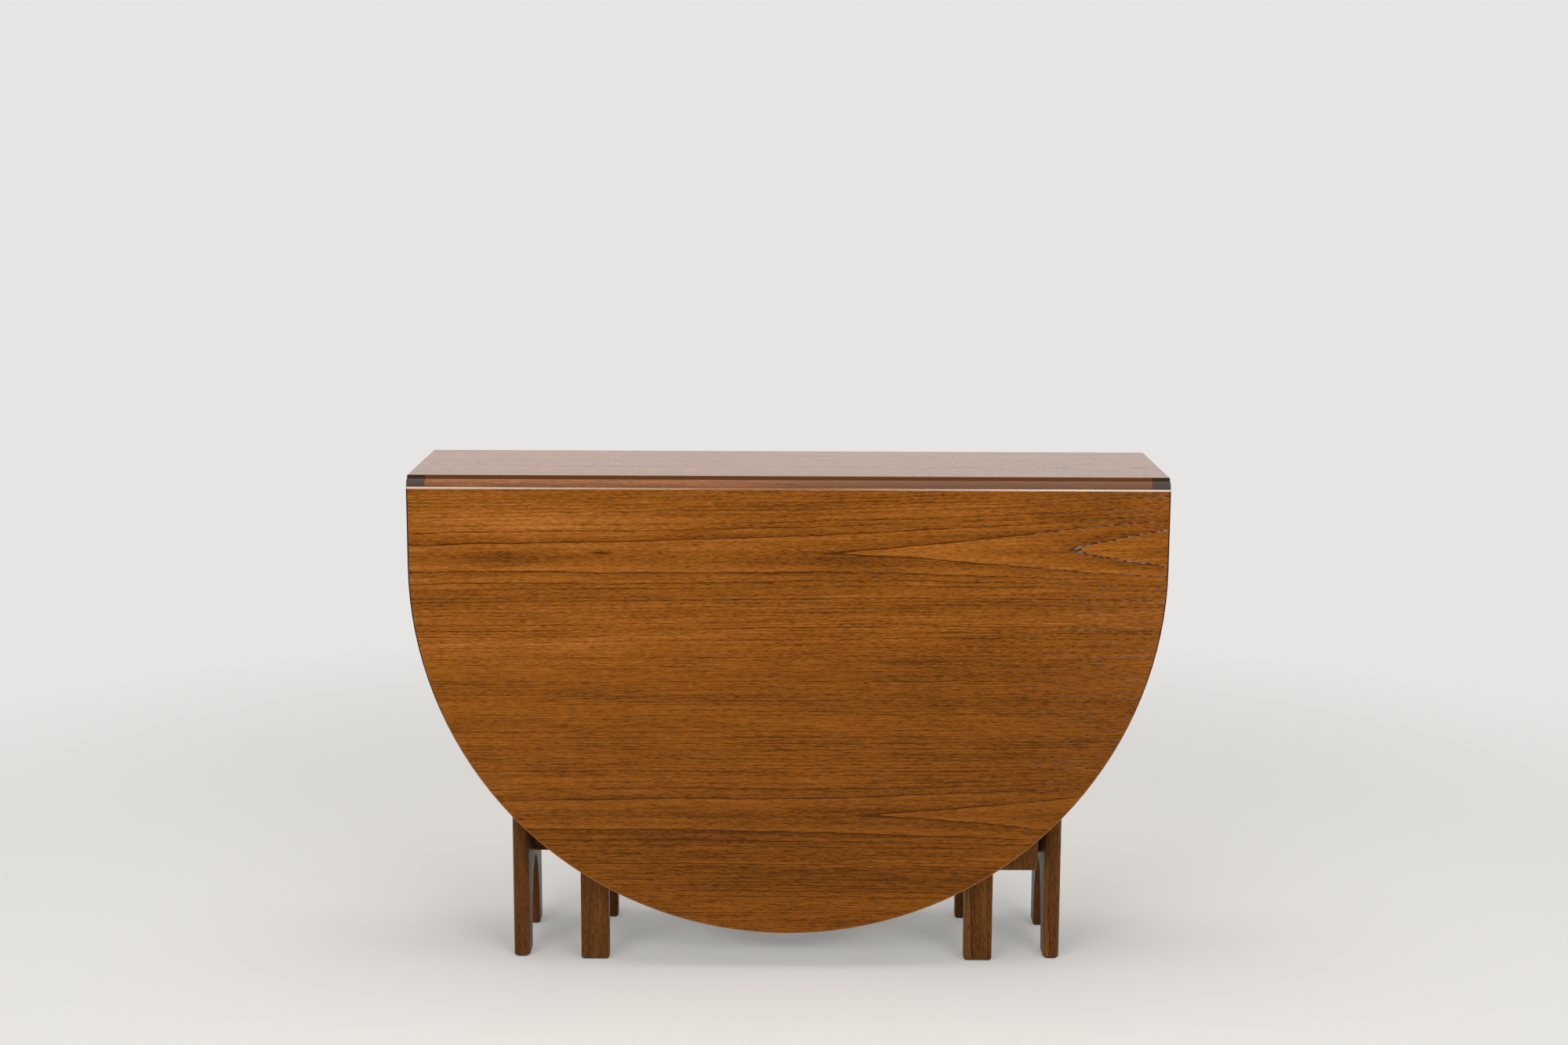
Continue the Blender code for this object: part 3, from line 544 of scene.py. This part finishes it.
def leaf_veneer(looks):
    """Crown-cut teak veneer, slip-matched in two sheets: orange-brown, with thin dark ring lines that close
    into flames at the right, fine broken streaks, a few marks, painted glints in the pores at the right end,
    painted highlight and shade on the edge strip, and a painted highlight on the rounded upper edge."""
    made, tree = new_material("lacquered_teak_leaf_veneer")
    place, facing = on_surface(tree)
    low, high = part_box("front_leaf")
    half = high.x
    figure, tone = leaf_figure(tree, looks, place)
    tone = leaf_marks(tree, place, tone)
    tint = three_tones(tree, tone, looks.veneer_dark, looks.veneer_mid, looks.veneer_light)
    # Painted glints: the pores at the right end of a leaf are painted pale, as if catching the light
    right_end = add(tree, RANGE, [place["X"], *PORE_GLINT_SPAN, 0.0, PORE_GLINT_SHARE])
    glinting_pores = add(tree, MATH, [figure.outputs["Dash"], right_end], "MULTIPLY")
    aside = add(tree, MATH, [place["X"]], "ABSOLUTE")
    strip, painted_rim = leaf_strip(tree, looks, place, aside, low, half)
    across_edge = three_tones(tree, figure, looks.solid_dark, looks.solid_mid, looks.solid_light)
    on_face = add(tree, MATH, [facing["Y"]], "ABSOLUTE")
    on_face = add(tree, RANGE, [on_face, *FACE_TURN])
    # Where the strip turns to the face, it shows its painted highlight and painted shade
    edge = add(tree, MIX, {FACTOR: on_face, FIRST: across_edge, SECOND: painted_rim}, data_type="RGBA")
    # A painted highlight lightens the rounded upper edge
    rubbed, painted_highlight = leaf_lip(tree, place, aside, facing, half)
    for cover, layer in ((glinting_pores, looks.pore_glint), (strip, edge), (painted_highlight, looks.lip_highlight)):
        tint = add(tree, MIX, {FACTOR: cover, FIRST: tint, SECOND: layer}, data_type="RGBA")
    glint = add(tree, MIX, {FACTOR: rubbed, FIRST: VENEER_TINT, SECOND: MOULDING_TINT}, data_type="RGBA")
    on_edge = add(tree, MATH, [strip, on_face], "SUBTRACT", use_clamp=True)
    roughness = add(tree, RANGE, [on_edge, 0, 1, VENEER_ROUGHNESS, EDGE_ROUGHNESS])
    satin_lacquer(tree, tint, figure, roughness, glint, LEAF_RELIEF, VENEER_COAT)
    return made


def top_figure(tree, place, facing):
    """The figure of the top, which runs along it, and across it on the ends."""
    at_end = add(tree, MATH, [facing["X"]], "ABSOLUTE")
    at_end = add(tree, MATH, [at_end, TOP_END_TURN], "GREATER_THAN")
    along = add(tree, MATH, [place["X"], TOP_ALONG], "ADD")
    along = add(tree, MIX, {FACTOR: at_end, FIRST_NUMBER: along, SECOND_NUMBER: place["Y"]})
    across = add(tree, MATH, [place["Y"], TOP_ACROSS], "ADD")
    across = add(tree, MIX, {FACTOR: at_end, FIRST_NUMBER: across, SECOND_NUMBER: place["Z"]})
    depth = add(tree, MATH, [place["Z"], TOP_SHEET], "ADD")
    return figured(tree, along, across, depth)


def top_edging(tree, looks, place):
    """The moulded edges of the top, the dark fillet over them, and how far they show solid wood."""
    from_middle = add(tree, MATH, [place["Y"]], "ABSOLUTE")
    arris = JOINT_AT["rear_leaf_hinge"].y - MOULDING_LEAD
    moulded = add(tree, MATH, [from_middle, arris], "GREATER_THAN")
    above = add(tree, MATH, [place["Z"], CAD_BOX[1][2] - looks.fillet], "GREATER_THAN")
    fillet = add(tree, MATH, [moulded, above], "MULTIPLY")
    edging = add(tree, MATH, [fillet, moulded], "ADD")
    edging = add(tree, RANGE, [edging, *EDGING_SPAN])
    darker = add(tree, RANGE, [place["X"], *DARKER_SPAN, 0.0, DARKER_SHARE])
    edging = add(tree, MATH, [moulded, darker, edging], "MULTIPLY_ADD", use_clamp=True)
    return moulded, fillet, edging


def top_veneer(looks):
    """Crown-cut teak veneer that runs on over the end lippings, as on the leaves but with less relief. The
    moulded edges are bare solid wood, nearly black where the end grain of the lippings shows on them."""
    made, tree = new_material("lacquered_teak_top_veneer")
    place, facing = on_surface(tree)
    figure = top_figure(tree, place, facing)
    tint = three_tones(tree, figure, looks.veneer_dark, looks.veneer_mid, looks.veneer_light)
    moulded, fillet, edging = top_edging(tree, looks, place)
    aside = add(tree, MATH, [place["X"]], "ABSOLUTE")
    lipped = add(tree, MATH, [aside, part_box("top_panel")[1].x], "GREATER_THAN")
    end = add(tree, MATH, [facing["Y"]], "ABSOLUTE")
    end = add(tree, RANGE, [end, *LIPPING_END_TURN, 0.0, LIPPING_END_SHARE])
    end = add(tree, MATH, [end, lipped], "MULTIPLY")
    for cover, layer in ((edging, looks.solid_mid), (end, looks.end_grain)):
        tint = add(tree, MIX, {FACTOR: cover, FIRST: tint, SECOND: layer}, data_type="RGBA")
    rounded = add(tree, MATH, [moulded, fillet], "SUBTRACT")
    glint = add(tree, MIX, {FACTOR: rounded, FIRST: VENEER_TINT, SECOND: MOULDING_TINT}, data_type="RGBA")
    roughness = add(tree, RANGE, [moulded, 0, 1, VENEER_ROUGHNESS, MOULDING_ROUGHNESS])
    satin_lacquer(tree, tint, figure, roughness, glint, TOP_RELIEF, VENEER_COAT)
    return made


def solid_teak(looks, piece):
    """Solid teak: darker than the veneer, with close ring lines and nearly black end grain."""
    run, heart, ring_radius, slant = CUTS[piece]
    made, tree = new_material(f"solid_teak_{piece}")
    place, facing = on_surface(tree)
    others = [axis for axis in range(3) if axis != run]
    offsets = [add(tree, MATH, [place[axis], at], "SUBTRACT") for axis, at in zip(others, heart)]
    spread = add(tree, COMBINE, offsets)
    radius = add(tree, VECTOR, [spread], "LENGTH")
    across = add(tree, MATH, [place[run], slant, radius], "MULTIPLY_ADD")
    across = add(tree, MATH, [across, ring_radius], "SUBTRACT")
    along = add(tree, MATH, [place[run], STRAIGHT_RUN], "SUBTRACT")
    figure = figured(tree, along, across, place[others[1]])
    quiet = add(tree, MATH, [figure.outputs["Line"], SOLID_LINE_GAIN, figure], "MULTIPLY_ADD")
    tint = three_tones(tree, quiet, looks.solid_dark, looks.solid_mid, looks.solid_light)
    end = add(tree, MATH, [facing[run]], "ABSOLUTE")
    end = add(tree, RANGE, [end, *SOLID_END_TURN, 0.0, SOLID_END_SHARE])
    tint = add(tree, MIX, {FACTOR: end, FIRST: tint, SECOND: looks.end_grain}, data_type="RGBA")
    satin_lacquer(tree, tint, figure, SOLID_ROUGHNESS)
    return made


def zinc_plate(looks):
    """Zinc-plated pressed steel, dulled by handling: warm grey, fine brushing and cloudy patches."""
    made, tree = new_material("zinc_plated_pressed_steel")
    place = add(tree, "ShaderNodeTexCoord").outputs["Object"]
    cloud = add(tree, NOISE, {"Vector": place, "Scale": 1000 / CLOUD, "Detail": 4.0})
    dulled = add(tree, RANGE, [cloud, *CLOUD_SPAN])
    tint = add(tree, MIX, {FACTOR: dulled, FIRST: looks.zinc, SECOND: looks.zinc_dull}, data_type="RGBA")
    gloss = add(tree, RANGE, [cloud, 0, 1, *ZINC_ROUGHNESS])
    brushed = add(tree, VECTOR, [place, grain_scale(*BRUSHING)], "MULTIPLY")
    scratch = add(tree, NOISE, {"Vector": brushed, "Scale": 1.0, "Detail": 1.0})
    bump = add(tree, "ShaderNodeBump", {"Height": scratch, "Strength": BRUSHING_RELIEF,
                                        "Distance": BRUSHING_DEPTH})
    shader = add(tree, "ShaderNodeBsdfPrincipled", {
        "Base Color": tint, "Metallic": 1.0, "Roughness": gloss, "Normal": bump})
    add(tree, "ShaderNodeOutputMaterial", {"Surface": shader})
    return made


def seen_rays(tree):
    """1 where the camera, a mirroring surface or glass looks, and 0 where light falls on things."""
    path = add(tree, "ShaderNodeLightPath").outputs
    seen = add(tree, MATH, [path["Is Camera Ray"], path["Is Glossy Ray"]], "MAXIMUM")
    return add(tree, MATH, [seen, path["Is Transmission Ray"]], "MAXIMUM")


def studio_paint(looks):
    """Matt pale paint. It keeps the table's shadow near the table; further off the camera, and what mirrors
    the room, see an even pale tone. It can't be seen from behind, so the table can be viewed from below."""
    made, tree = new_material("matt_pale_studio_paint")
    place = add(tree, "ShaderNodeTexCoord").outputs["Object"]
    away = add(tree, VECTOR, [place], "LENGTH")
    far = add(tree, RANGE, [away, looks.near_floor, looks.far_floor, NEAR_GLOW, 1.0],
              interpolation_type="SMOOTHSTEP")
    mottle = add(tree, NOISE, {"Vector": place, "Scale": PAINT_CLOUDS, "Detail": 2.0})
    paint = add(tree, RANGE, [mottle, 0, 1, *PAINT_SHADES])
    tint = add(tree, VECTOR, [looks.floor[:3], paint], "MULTIPLY")
    matt = add(tree, "ShaderNodeBsdfDiffuse", {"Color": tint})
    glow = add(tree, "ShaderNodeEmission", {"Color": looks.backdrop})
    even = add(tree, MATH, [seen_rays(tree), far], "MULTIPLY")
    surface = add(tree, "ShaderNodeMixShader", [even, matt, glow])
    behind = add(tree, "ShaderNodeNewGeometry").outputs["Backfacing"]
    clear = add(tree, "ShaderNodeBsdfTransparent")
    surface = add(tree, "ShaderNodeMixShader", [behind, surface, clear])
    add(tree, "ShaderNodeOutputMaterial", {"Surface": surface})
    return made


def even_fill(looks):
    """Dim white light from all round, which the camera and mirroring surfaces see as the backdrop."""
    world = bpy.data.worlds.new("even_fill")
    world.use_nodes = True
    tree = world.node_tree
    tree.nodes.clear()
    fill = add(tree, "ShaderNodeBackground", {"Color": WHITE, "Strength": looks.fill})
    room = add(tree, "ShaderNodeBackground", {"Color": looks.backdrop})
    light = add(tree, "ShaderNodeMixShader", [seen_rays(tree), fill, room])
    add(tree, "ShaderNodeOutputWorld", {"Surface": light})
    return world


def weld_and_smooth():
    """A geometry node group that welds the facets of a piece and smooths its gentle edges."""
    name = "weld_and_smooth"
    if name in bpy.data.node_groups:
        return bpy.data.node_groups[name]
    tree = bpy.data.node_groups.new(name, "GeometryNodeTree")
    for way in ("INPUT", "OUTPUT"):
        tree.interface.new_socket("Geometry", in_out=way, socket_type="NodeSocketGeometry")
    facets = add(tree, "NodeGroupInput")
    welded = add(tree, "GeometryNodeMergeByDistance", {"Geometry": facets, "Distance": WELD})
    smooth = add(tree, "GeometryNodeRemoveAttribute", {"Geometry": welded, "Name": "custom_normal"})
    bend = add(tree, "GeometryNodeInputMeshEdgeAngle").outputs["Unsigned Angle"]
    gentle = add(tree, "FunctionNodeCompare", {"A": bend, "B": SMOOTH_ANGLE}, "LESS_EQUAL")
    for domain, where in (("FACE", True), ("EDGE", gentle)):
        smooth = add(tree, "GeometryNodeSetShadeSmooth", {"Geometry": smooth, "Shade Smooth": where},
                     domain=domain)
    add(tree, "NodeGroupOutput", {"Geometry": smooth})
    return tree


def dress(names, finish, arris=0.0):
    """Give pieces a finish, smooth curves beside flat faces and, where arris isn't 0, eased edges."""
    for name in names:
        piece = NODES[name]
        piece.data.materials.clear()
        piece.data.materials.append(finish)
        piece.modifiers.new("smooth", "NODES").node_group = weld_and_smooth()
        if arris:
            ease = piece.modifiers.new("arris", "BEVEL")
            ease.width = arris
            ease.segments = 2
            ease.limit_method = "ANGLE"
            ease.angle_limit = BEVEL_ANGLE
            ease.harden_normals = True
        else:
            piece.modifiers.new("flat", "WEIGHTED_NORMAL").keep_sharp = True


def object_of(name, data):
    """A new object in the scene, from its data or from the bmesh that it was built in."""
    if isinstance(data, bmesh.types.BMesh):
        built, data = data, bpy.data.meshes.new(name)
        built.to_mesh(data)
        built.free()
    made = bpy.data.objects.new(name, data)
    bpy.context.scene.collection.objects.link(made)
    return made


def turned(profile, steps):
    """A bmesh turned about Z from a profile of radius and height."""
    bm = bmesh.new()
    line = [bm.verts.new((radius, 0, height)) for radius, height in profile]
    edges = [bm.edges.new(pair) for pair in zip(line, line[1:])]
    bmesh.ops.spin(bm, geom=line + edges, axis=(0, 0, 1), cent=(0, 0, 0), angle=2 * math.pi, steps=steps,
                   use_merge=True)
    bmesh.ops.remove_doubles(bm, verts=bm.verts, dist=WELD)
    bmesh.ops.recalc_face_normals(bm, faces=bm.faces)
    return bm


def slotted_screw(looks):
    """A countersunk wood screw with its head's face at z = 0 and a slot along X."""
    head, shank = looks.screw_head, looks.screw_shank
    profile = [(0, 0), (head - SCREW_EDGE, 0), (head, -SCREW_EDGE), (shank, -looks.screw_sink),
               (shank, -looks.screw_length + 2 * shank), (0, -looks.screw_length)]
    screw = object_of("screw", turned(profile, SCREW_STEPS))
    bm = bmesh.new()
    bmesh.ops.create_cube(bm, size=1.0)
    bmesh.ops.scale(bm, vec=(3 * head, looks.slot_width, 2 * looks.slot_depth), verts=bm.verts)
    cutter = object_of("slot", bm)
    screw.modifiers.new("slot", "BOOLEAN").object = cutter
    view = bpy.context.evaluated_depsgraph_get()
    made = bpy.data.meshes.new_from_object(screw.evaluated_get(view))
    for spare in (screw, cutter):
        bpy.data.objects.remove(spare)
    made.set_sharp_from_angle(angle=SMOOTH_ANGLE)
    return made


class TABLE_OT_top(bpy.types.Operator):
    """Dress the fixed top and the solid lipping across each of its ends"""
    bl_idname = "table.dress_top"
    bl_label = "Dress Top"

    def execute(self, context):
        looks = context.scene.teak_looks
        veneer = top_veneer(looks)
        dress(["top_panel"], veneer)
        dress([f"{hand}_end_lipping" for hand in HANDS], veneer)
        return {"FINISHED"}


class TABLE_OT_leaves(bpy.types.Operator):
    """Dress the two leaves and the gate stops under them"""
    bl_idname = "table.dress_leaves"
    bl_label = "Dress Leaves"

    def execute(self, context):
        looks = context.scene.teak_looks
        dress([f"{side}_leaf" for side in SIDES], leaf_veneer(looks))
        dress([f"{side}_leaf_stop" for side in SIDES], solid_teak(looks, "stop"))
        return {"FINISHED"}


class TABLE_OT_end_frames(bpy.types.Operator):
    """Dress the four boards of the end frames"""
    bl_idname = "table.dress_end_frames"
    bl_label = "Dress End Frames"

    def execute(self, context):
        looks = context.scene.teak_looks
        names = [f"{hand}_{side}_leg_board" for hand in HANDS for side in SIDES]
        dress(names, solid_teak(looks, "leg_board"), looks.arris)
        return {"FINISHED"}


class TABLE_OT_rails(bpy.types.Operator):
    """Dress the rails between the end frames and the cleats under the top"""
    bl_idname = "table.dress_rails"
    bl_label = "Dress Rails"

    def execute(self, context):
        looks = context.scene.teak_looks
        dress(["lower_stretcher", "upper_spine"], solid_teak(looks, "rail"), looks.arris)
        names = [f"{hand}_{side}_cleat" for hand in HANDS for side in SIDES]
        dress(names, solid_teak(looks, "cleat"))
        return {"FINISHED"}


class TABLE_OT_seams(bpy.types.Operator):
    """Close the glued seams of the end frames and of the end lippings"""
    bl_idname = "table.close_seams"
    bl_label = "Close Seams"

    sunk: measure("Sunk", "How far a glue line lies under the faces beside it", 0.0001)
    top_sunk: measure("Top Sunk", "How far a glue line lies under the face of the top", 0.000025)
    crown: measure("Crown", "Seam of an end frame below the lower rail, down to its arch", 0.0105)

    def close(self, name, spans, finish):
        """One glue line, made of thin bars between opposite corners."""
        bm = bmesh.new()
        for low, high in spans:
            low, high = Vector(low), Vector(high)
            bar = bmesh.ops.create_cube(bm, size=1.0)["verts"]
            bmesh.ops.scale(bm, vec=high - low, verts=bar)
            bmesh.ops.translate(bm, vec=(low + high) / 2, verts=bar)
        made = object_of(name, bm)
        made.data.materials.append(bpy.data.materials[finish])
        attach(made, "frame")

    def execute(self, context):
        rail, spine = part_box("lower_stretcher"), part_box("upper_spine")
        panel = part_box("top_panel")
        arris = JOINT_AT["rear_leaf_hinge"].y - self.sunk
        heights = ((rail[0].z - self.crown, rail[0].z), (rail[1].z, spine[0].z))
        for hand in HANDS:
            low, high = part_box(f"{hand}_front_leg_board")
            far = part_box(f"{hand}_rear_leg_board")[0].y
            spans = [((low.x + self.sunk, high.y, bottom), (high.x - self.sunk, far, top))
                     for bottom, top in heights]
            self.close(f"{hand}_end_frame_glue_line", spans, "solid_teak_leg_board")
            low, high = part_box(f"{hand}_end_lipping")
            near, away = (high.x, panel[0].x) if hand == "left" else (panel[1].x, low.x)
            span = ((near, -arris, panel[0].z + self.sunk), (away, arris, panel[1].z - self.top_sunk))
            self.close(f"{hand}_lipping_glue_line", [span], "lacquered_teak_top_veneer")
        return {"FINISHED"}


class TABLE_OT_gates(bpy.types.Operator):
    """Dress the legs, stiles and rails of the two gates"""
    bl_idname = "table.dress_gates"
    bl_label = "Dress Gates"

    def execute(self, context):
        looks = context.scene.teak_looks
        upright = solid_teak(looks, "gate_leg")
        level = solid_teak(looks, "gate_rail")
        for side in SIDES:
            for piece in GATE_PIECES:
                finish = level if piece.endswith("rail") else upright
                dress([f"{side}_gate_{piece}"], finish, looks.arris)
        return {"FINISHED"}


class TABLE_OT_hinges(bpy.types.Operator):
    """Dress the flaps and pins of the leaf hinges and gate hinges"""
    bl_idname = "table.dress_hinges"
    bl_label = "Dress Hinges"

    def execute(self, context):
        zinc = zinc_plate(context.scene.fitting_looks)
        for side in SIDES:
            for places, parts in ((PLACES, ("top_flap", "leaf_flap", "leaf_pin")),
                                  (LEVELS, ("frame_flap", "gate_flap", "gate_pin"))):
                names = [f"{side}_{place}_{part}" for place in places for part in parts]
                dress(names, zinc)
        return {"FINISHED"}


class TABLE_OT_screws(bpy.types.Operator):
    """Drive slotted screws through the hinge flaps and the cleats"""
    bl_idname = "table.drive_screws"
    bl_label = "Drive Screws"

    spread: measure("Spread", "Share of a hinge's width to each side", 0.31, "NONE")
    top_row: measure("Top Row", "Share of a top flap's reach", 0.60, "NONE")
    leaf_row: measure("Leaf Row", "Share of a leaf flap's reach", 0.50, "NONE")
    leaf_tip: measure("Leaf Tip", "Share of a leaf flap's reach", 0.80, "NONE")
    gate_row: measure("Gate Row", "Share of a gate flap's reach", 0.68, "NONE")
    gate_plate: measure("Gate Plate", "Thickness of a gate hinge", 0.002)
    sunk: measure("Sunk", "How far a head lies under the face", 0.0001)

    def leaf_hinge_screws(self, side, sign):
        """The places in the top and in a leaf, from the hinge flaps' boxes."""
        pin = JOINT_AT[f"{side}_leaf_hinge"]
        down = Matrix.Rotation(HALF_TURN, 4, "X")
        inwards = Matrix.Rotation(sign * QUARTER_TURN, 4, "X")
        top, leaf = [], []
        for place in PLACES:
            low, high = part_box(f"{side}_{place}_top_flap")
            middle, aside = (low.x + high.x) / 2, self.spread * (high.x - low.x)
            tip = high.y if sign < 0 else low.y
            row = pin.y + self.top_row * (tip - pin.y)
            for step in (-aside, aside):
                top.append(Matrix.Translation((middle + step, row, low.z + self.sunk)) @ down)
            low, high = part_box(f"{side}_{place}_leaf_flap")
            face = (high.y if sign < 0 else low.y) + sign * self.sunk
            reach = pin.z - low.z
            for step, row in ((-aside, self.leaf_row), (aside, self.leaf_row), (0, self.leaf_tip)):
                leaf.append(Matrix.Translation((middle + step, face, pin.z - row * reach)) @ inwards)
        return top, leaf

    def gate_hinge_screws(self, side, sign):
        """The places in the end frame and in a gate's stile, from the hinge flaps' boxes."""
        pin = JOINT_AT[f"{side}_gate_hinge"]
        on_frame, on_gate = [], []
        for level in LEVELS:
            for part, found, outward in (("frame_flap", on_frame, -sign), ("gate_flap", on_gate, sign)):
                low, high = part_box(f"{side}_{level}_{part}")
                plate = (high.x if outward > 0 else low.x) - outward * (self.gate_plate + self.sunk)
                tip = high.y if sign < 0 else low.y
                row = pin.y + self.gate_row * (tip - pin.y)
                facing = Matrix.Rotation(-outward * QUARTER_TURN, 4, "Y")
                middle, aside = (low.z + high.z) / 2, self.spread * (high.z - low.z)
                for step in (-aside, aside):
                    found.append(Matrix.Translation((plate, row, middle + step)) @ facing)
        return on_frame, on_gate

    def cleat_screws(self):
        """Two places in each cleat, heads down."""
        found = []
        down = Matrix.Rotation(HALF_TURN, 4, "X")
        for hand in HANDS:
            for side in SIDES:
                low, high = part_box(f"{hand}_{side}_cleat")
                for step in CLEAT_ROWS:
                    at = ((low.x + high.x) / 2, low.y + step * (high.y - low.y), low.z + self.sunk)
                    found.append(Matrix.Translation(at) @ down)
        return found

    def drive(self, name, body, places, mesh):
        """One piece of like screws, each with its slot at its own angle."""
        bm = bmesh.new()
        for count, place in enumerate(places):
            copy = mesh.copy()
            copy.transform(place @ Matrix.Rotation(count * SLOT_TURN, 4, "Z"))
            bm.from_mesh(copy)
            bpy.data.meshes.remove(copy)
        made = object_of(name, bm)
        made.data.materials.append(bpy.data.materials["zinc_plated_pressed_steel"])
        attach(made, body)

    def execute(self, context):
        mesh = slotted_screw(context.scene.fitting_looks)
        for side, sign in SIDES.items():
            top, leaf = self.leaf_hinge_screws(side, sign)
            self.drive(f"{side}_top_flap_screws", "frame", top, mesh)
            self.drive(f"{side}_leaf_flap_screws", f"{side}_leaf", leaf, mesh)
            on_frame, on_gate = self.gate_hinge_screws(side, sign)
            self.drive(f"{side}_frame_flap_screws", "frame", on_frame, mesh)
            self.drive(f"{side}_gate_flap_screws", f"{side}_gate", on_gate, mesh)
        self.drive("cleat_screws", "frame", self.cleat_screws(), mesh)
        return {"FINISHED"}


class TABLE_OT_stage(bpy.types.Operator):
    """Set the table on a pale floor that sweeps up all round, with soft boxes, ceiling light and camera"""
    bl_idname = "table.set_stage"
    bl_label = "Set Stage"

    def floor(self, looks):
        """The floor and the wall that it sweeps up into."""
        profile = [(0, 0), (looks.near_floor, 0), (looks.floor_radius, 0)]
        for step in range(1, SWEEP_STEPS + 1):
            angle = QUARTER_TURN * step / SWEEP_STEPS
            out, up = looks.sweep * math.sin(angle), looks.sweep * (1 - math.cos(angle))
            profile.append((looks.floor_radius + out, up))
        profile.append((looks.floor_radius + looks.sweep, looks.wall_top))
        floor = object_of("floor", turned(profile, FLOOR_STEPS))
        floor.data.flip_normals()
        floor.data.shade_smooth()
        floor.data.materials.append(studio_paint(looks))

    def lamp(self, name, watts, width, length, at, facing):
        """One flat lamp, hidden from the camera and not mirrored."""
        light = bpy.data.lights.new(name, "AREA")
        light.energy = watts
        light.shape = "RECTANGLE"
        light.size = width
        light.size_y = length
        made = object_of(name, light)
        made.location = at
        made.rotation_euler = facing.to_euler()
        made.visible_camera = False
        made.visible_glossy = False

    def lamps(self, looks):
        """Two soft boxes beside the camera and a lit ceiling."""
        for hand, sign in HANDS.items():
            at = Vector((sign * looks.lamp_side, -looks.lamp_front, looks.lamp_height))
            facing = (LAMP_AIM - at).to_track_quat("-Z", "Y")
            self.lamp(f"{hand}_soft_box", looks.lamp_power, looks.lamp_width, looks.lamp_drop, at, facing)
        self.lamp("ceiling", looks.ceiling_power, looks.ceiling_width, looks.ceiling_width,
                  Vector((0, 0, looks.ceiling_height)), Quaternion())

    def camera(self, looks):
        """The camera, in front and a little above."""
        camera = object_of("camera", bpy.data.cameras.new("camera"))
        camera.data.lens = looks.lens
        at = Matrix.Translation(looks.camera_at)
        aside = Matrix.Rotation(looks.camera_aside, 4, "Z")
        level = Matrix.Rotation(QUARTER_TURN - looks.camera_down, 4, "X")
        roll = Matrix.Rotation(looks.camera_roll, 4, "Z")
        camera.matrix_world = at @ aside @ level @ roll
        bpy.context.scene.camera = camera

    def execute(self, context):
        looks = context.scene.studio_looks
        self.floor(looks)
        self.lamps(looks)
        context.scene.world = even_fill(looks)
        self.camera(looks)
        context.scene.view_settings.view_transform = "Standard"
        return {"FINISHED"}


OPERATORS = (TABLE_OT_top, TABLE_OT_leaves, TABLE_OT_end_frames, TABLE_OT_rails, TABLE_OT_seams,
             TABLE_OT_gates, TABLE_OT_hinges, TABLE_OT_screws, TABLE_OT_stage)


class TABLE_PT_looks(bpy.types.Panel):
    """Steps and settings of the table's looks"""
    bl_label = "Table"
    bl_space_type = "VIEW_3D"
    bl_region_type = "UI"
    bl_category = "Table"

    def draw(self, context):
        layout = self.layout
        for operator in OPERATORS:
            layout.operator(operator.bl_idname)
        for name, group in LOOKS.items():
            box = layout.box()
            box.label(text=group.__doc__)
            for setting in group.__annotations__:
                box.prop(getattr(context.scene, name), setting)


LOOKS = {"teak_looks": TeakLooks, "fitting_looks": FittingLooks, "studio_looks": StudioLooks}
CLASSES = (*LOOKS.values(), *OPERATORS, TABLE_PT_looks)


def register():
    """Add the settings, the steps and the panel."""
    for cls in CLASSES:
        bpy.utils.register_class(cls)
    for name, group in LOOKS.items():
        setattr(bpy.types.Scene, name, PointerProperty(type=group))


def unregister():
    """Take the settings, the steps and the panel away."""
    for name in LOOKS:
        delattr(bpy.types.Scene, name)
    for cls in reversed(CLASSES):
        bpy.utils.unregister_class(cls)


def main():
    """Dress the table and set the stage."""
    register()
    bpy.ops.table.dress_top()
    bpy.ops.table.dress_leaves()
    bpy.ops.table.dress_end_frames()
    bpy.ops.table.dress_rails()
    bpy.ops.table.close_seams()
    bpy.ops.table.dress_gates()
    bpy.ops.table.dress_hinges()
    bpy.ops.table.drive_screws()
    bpy.ops.table.set_stage()


if __name__ == "__main__":
    main()
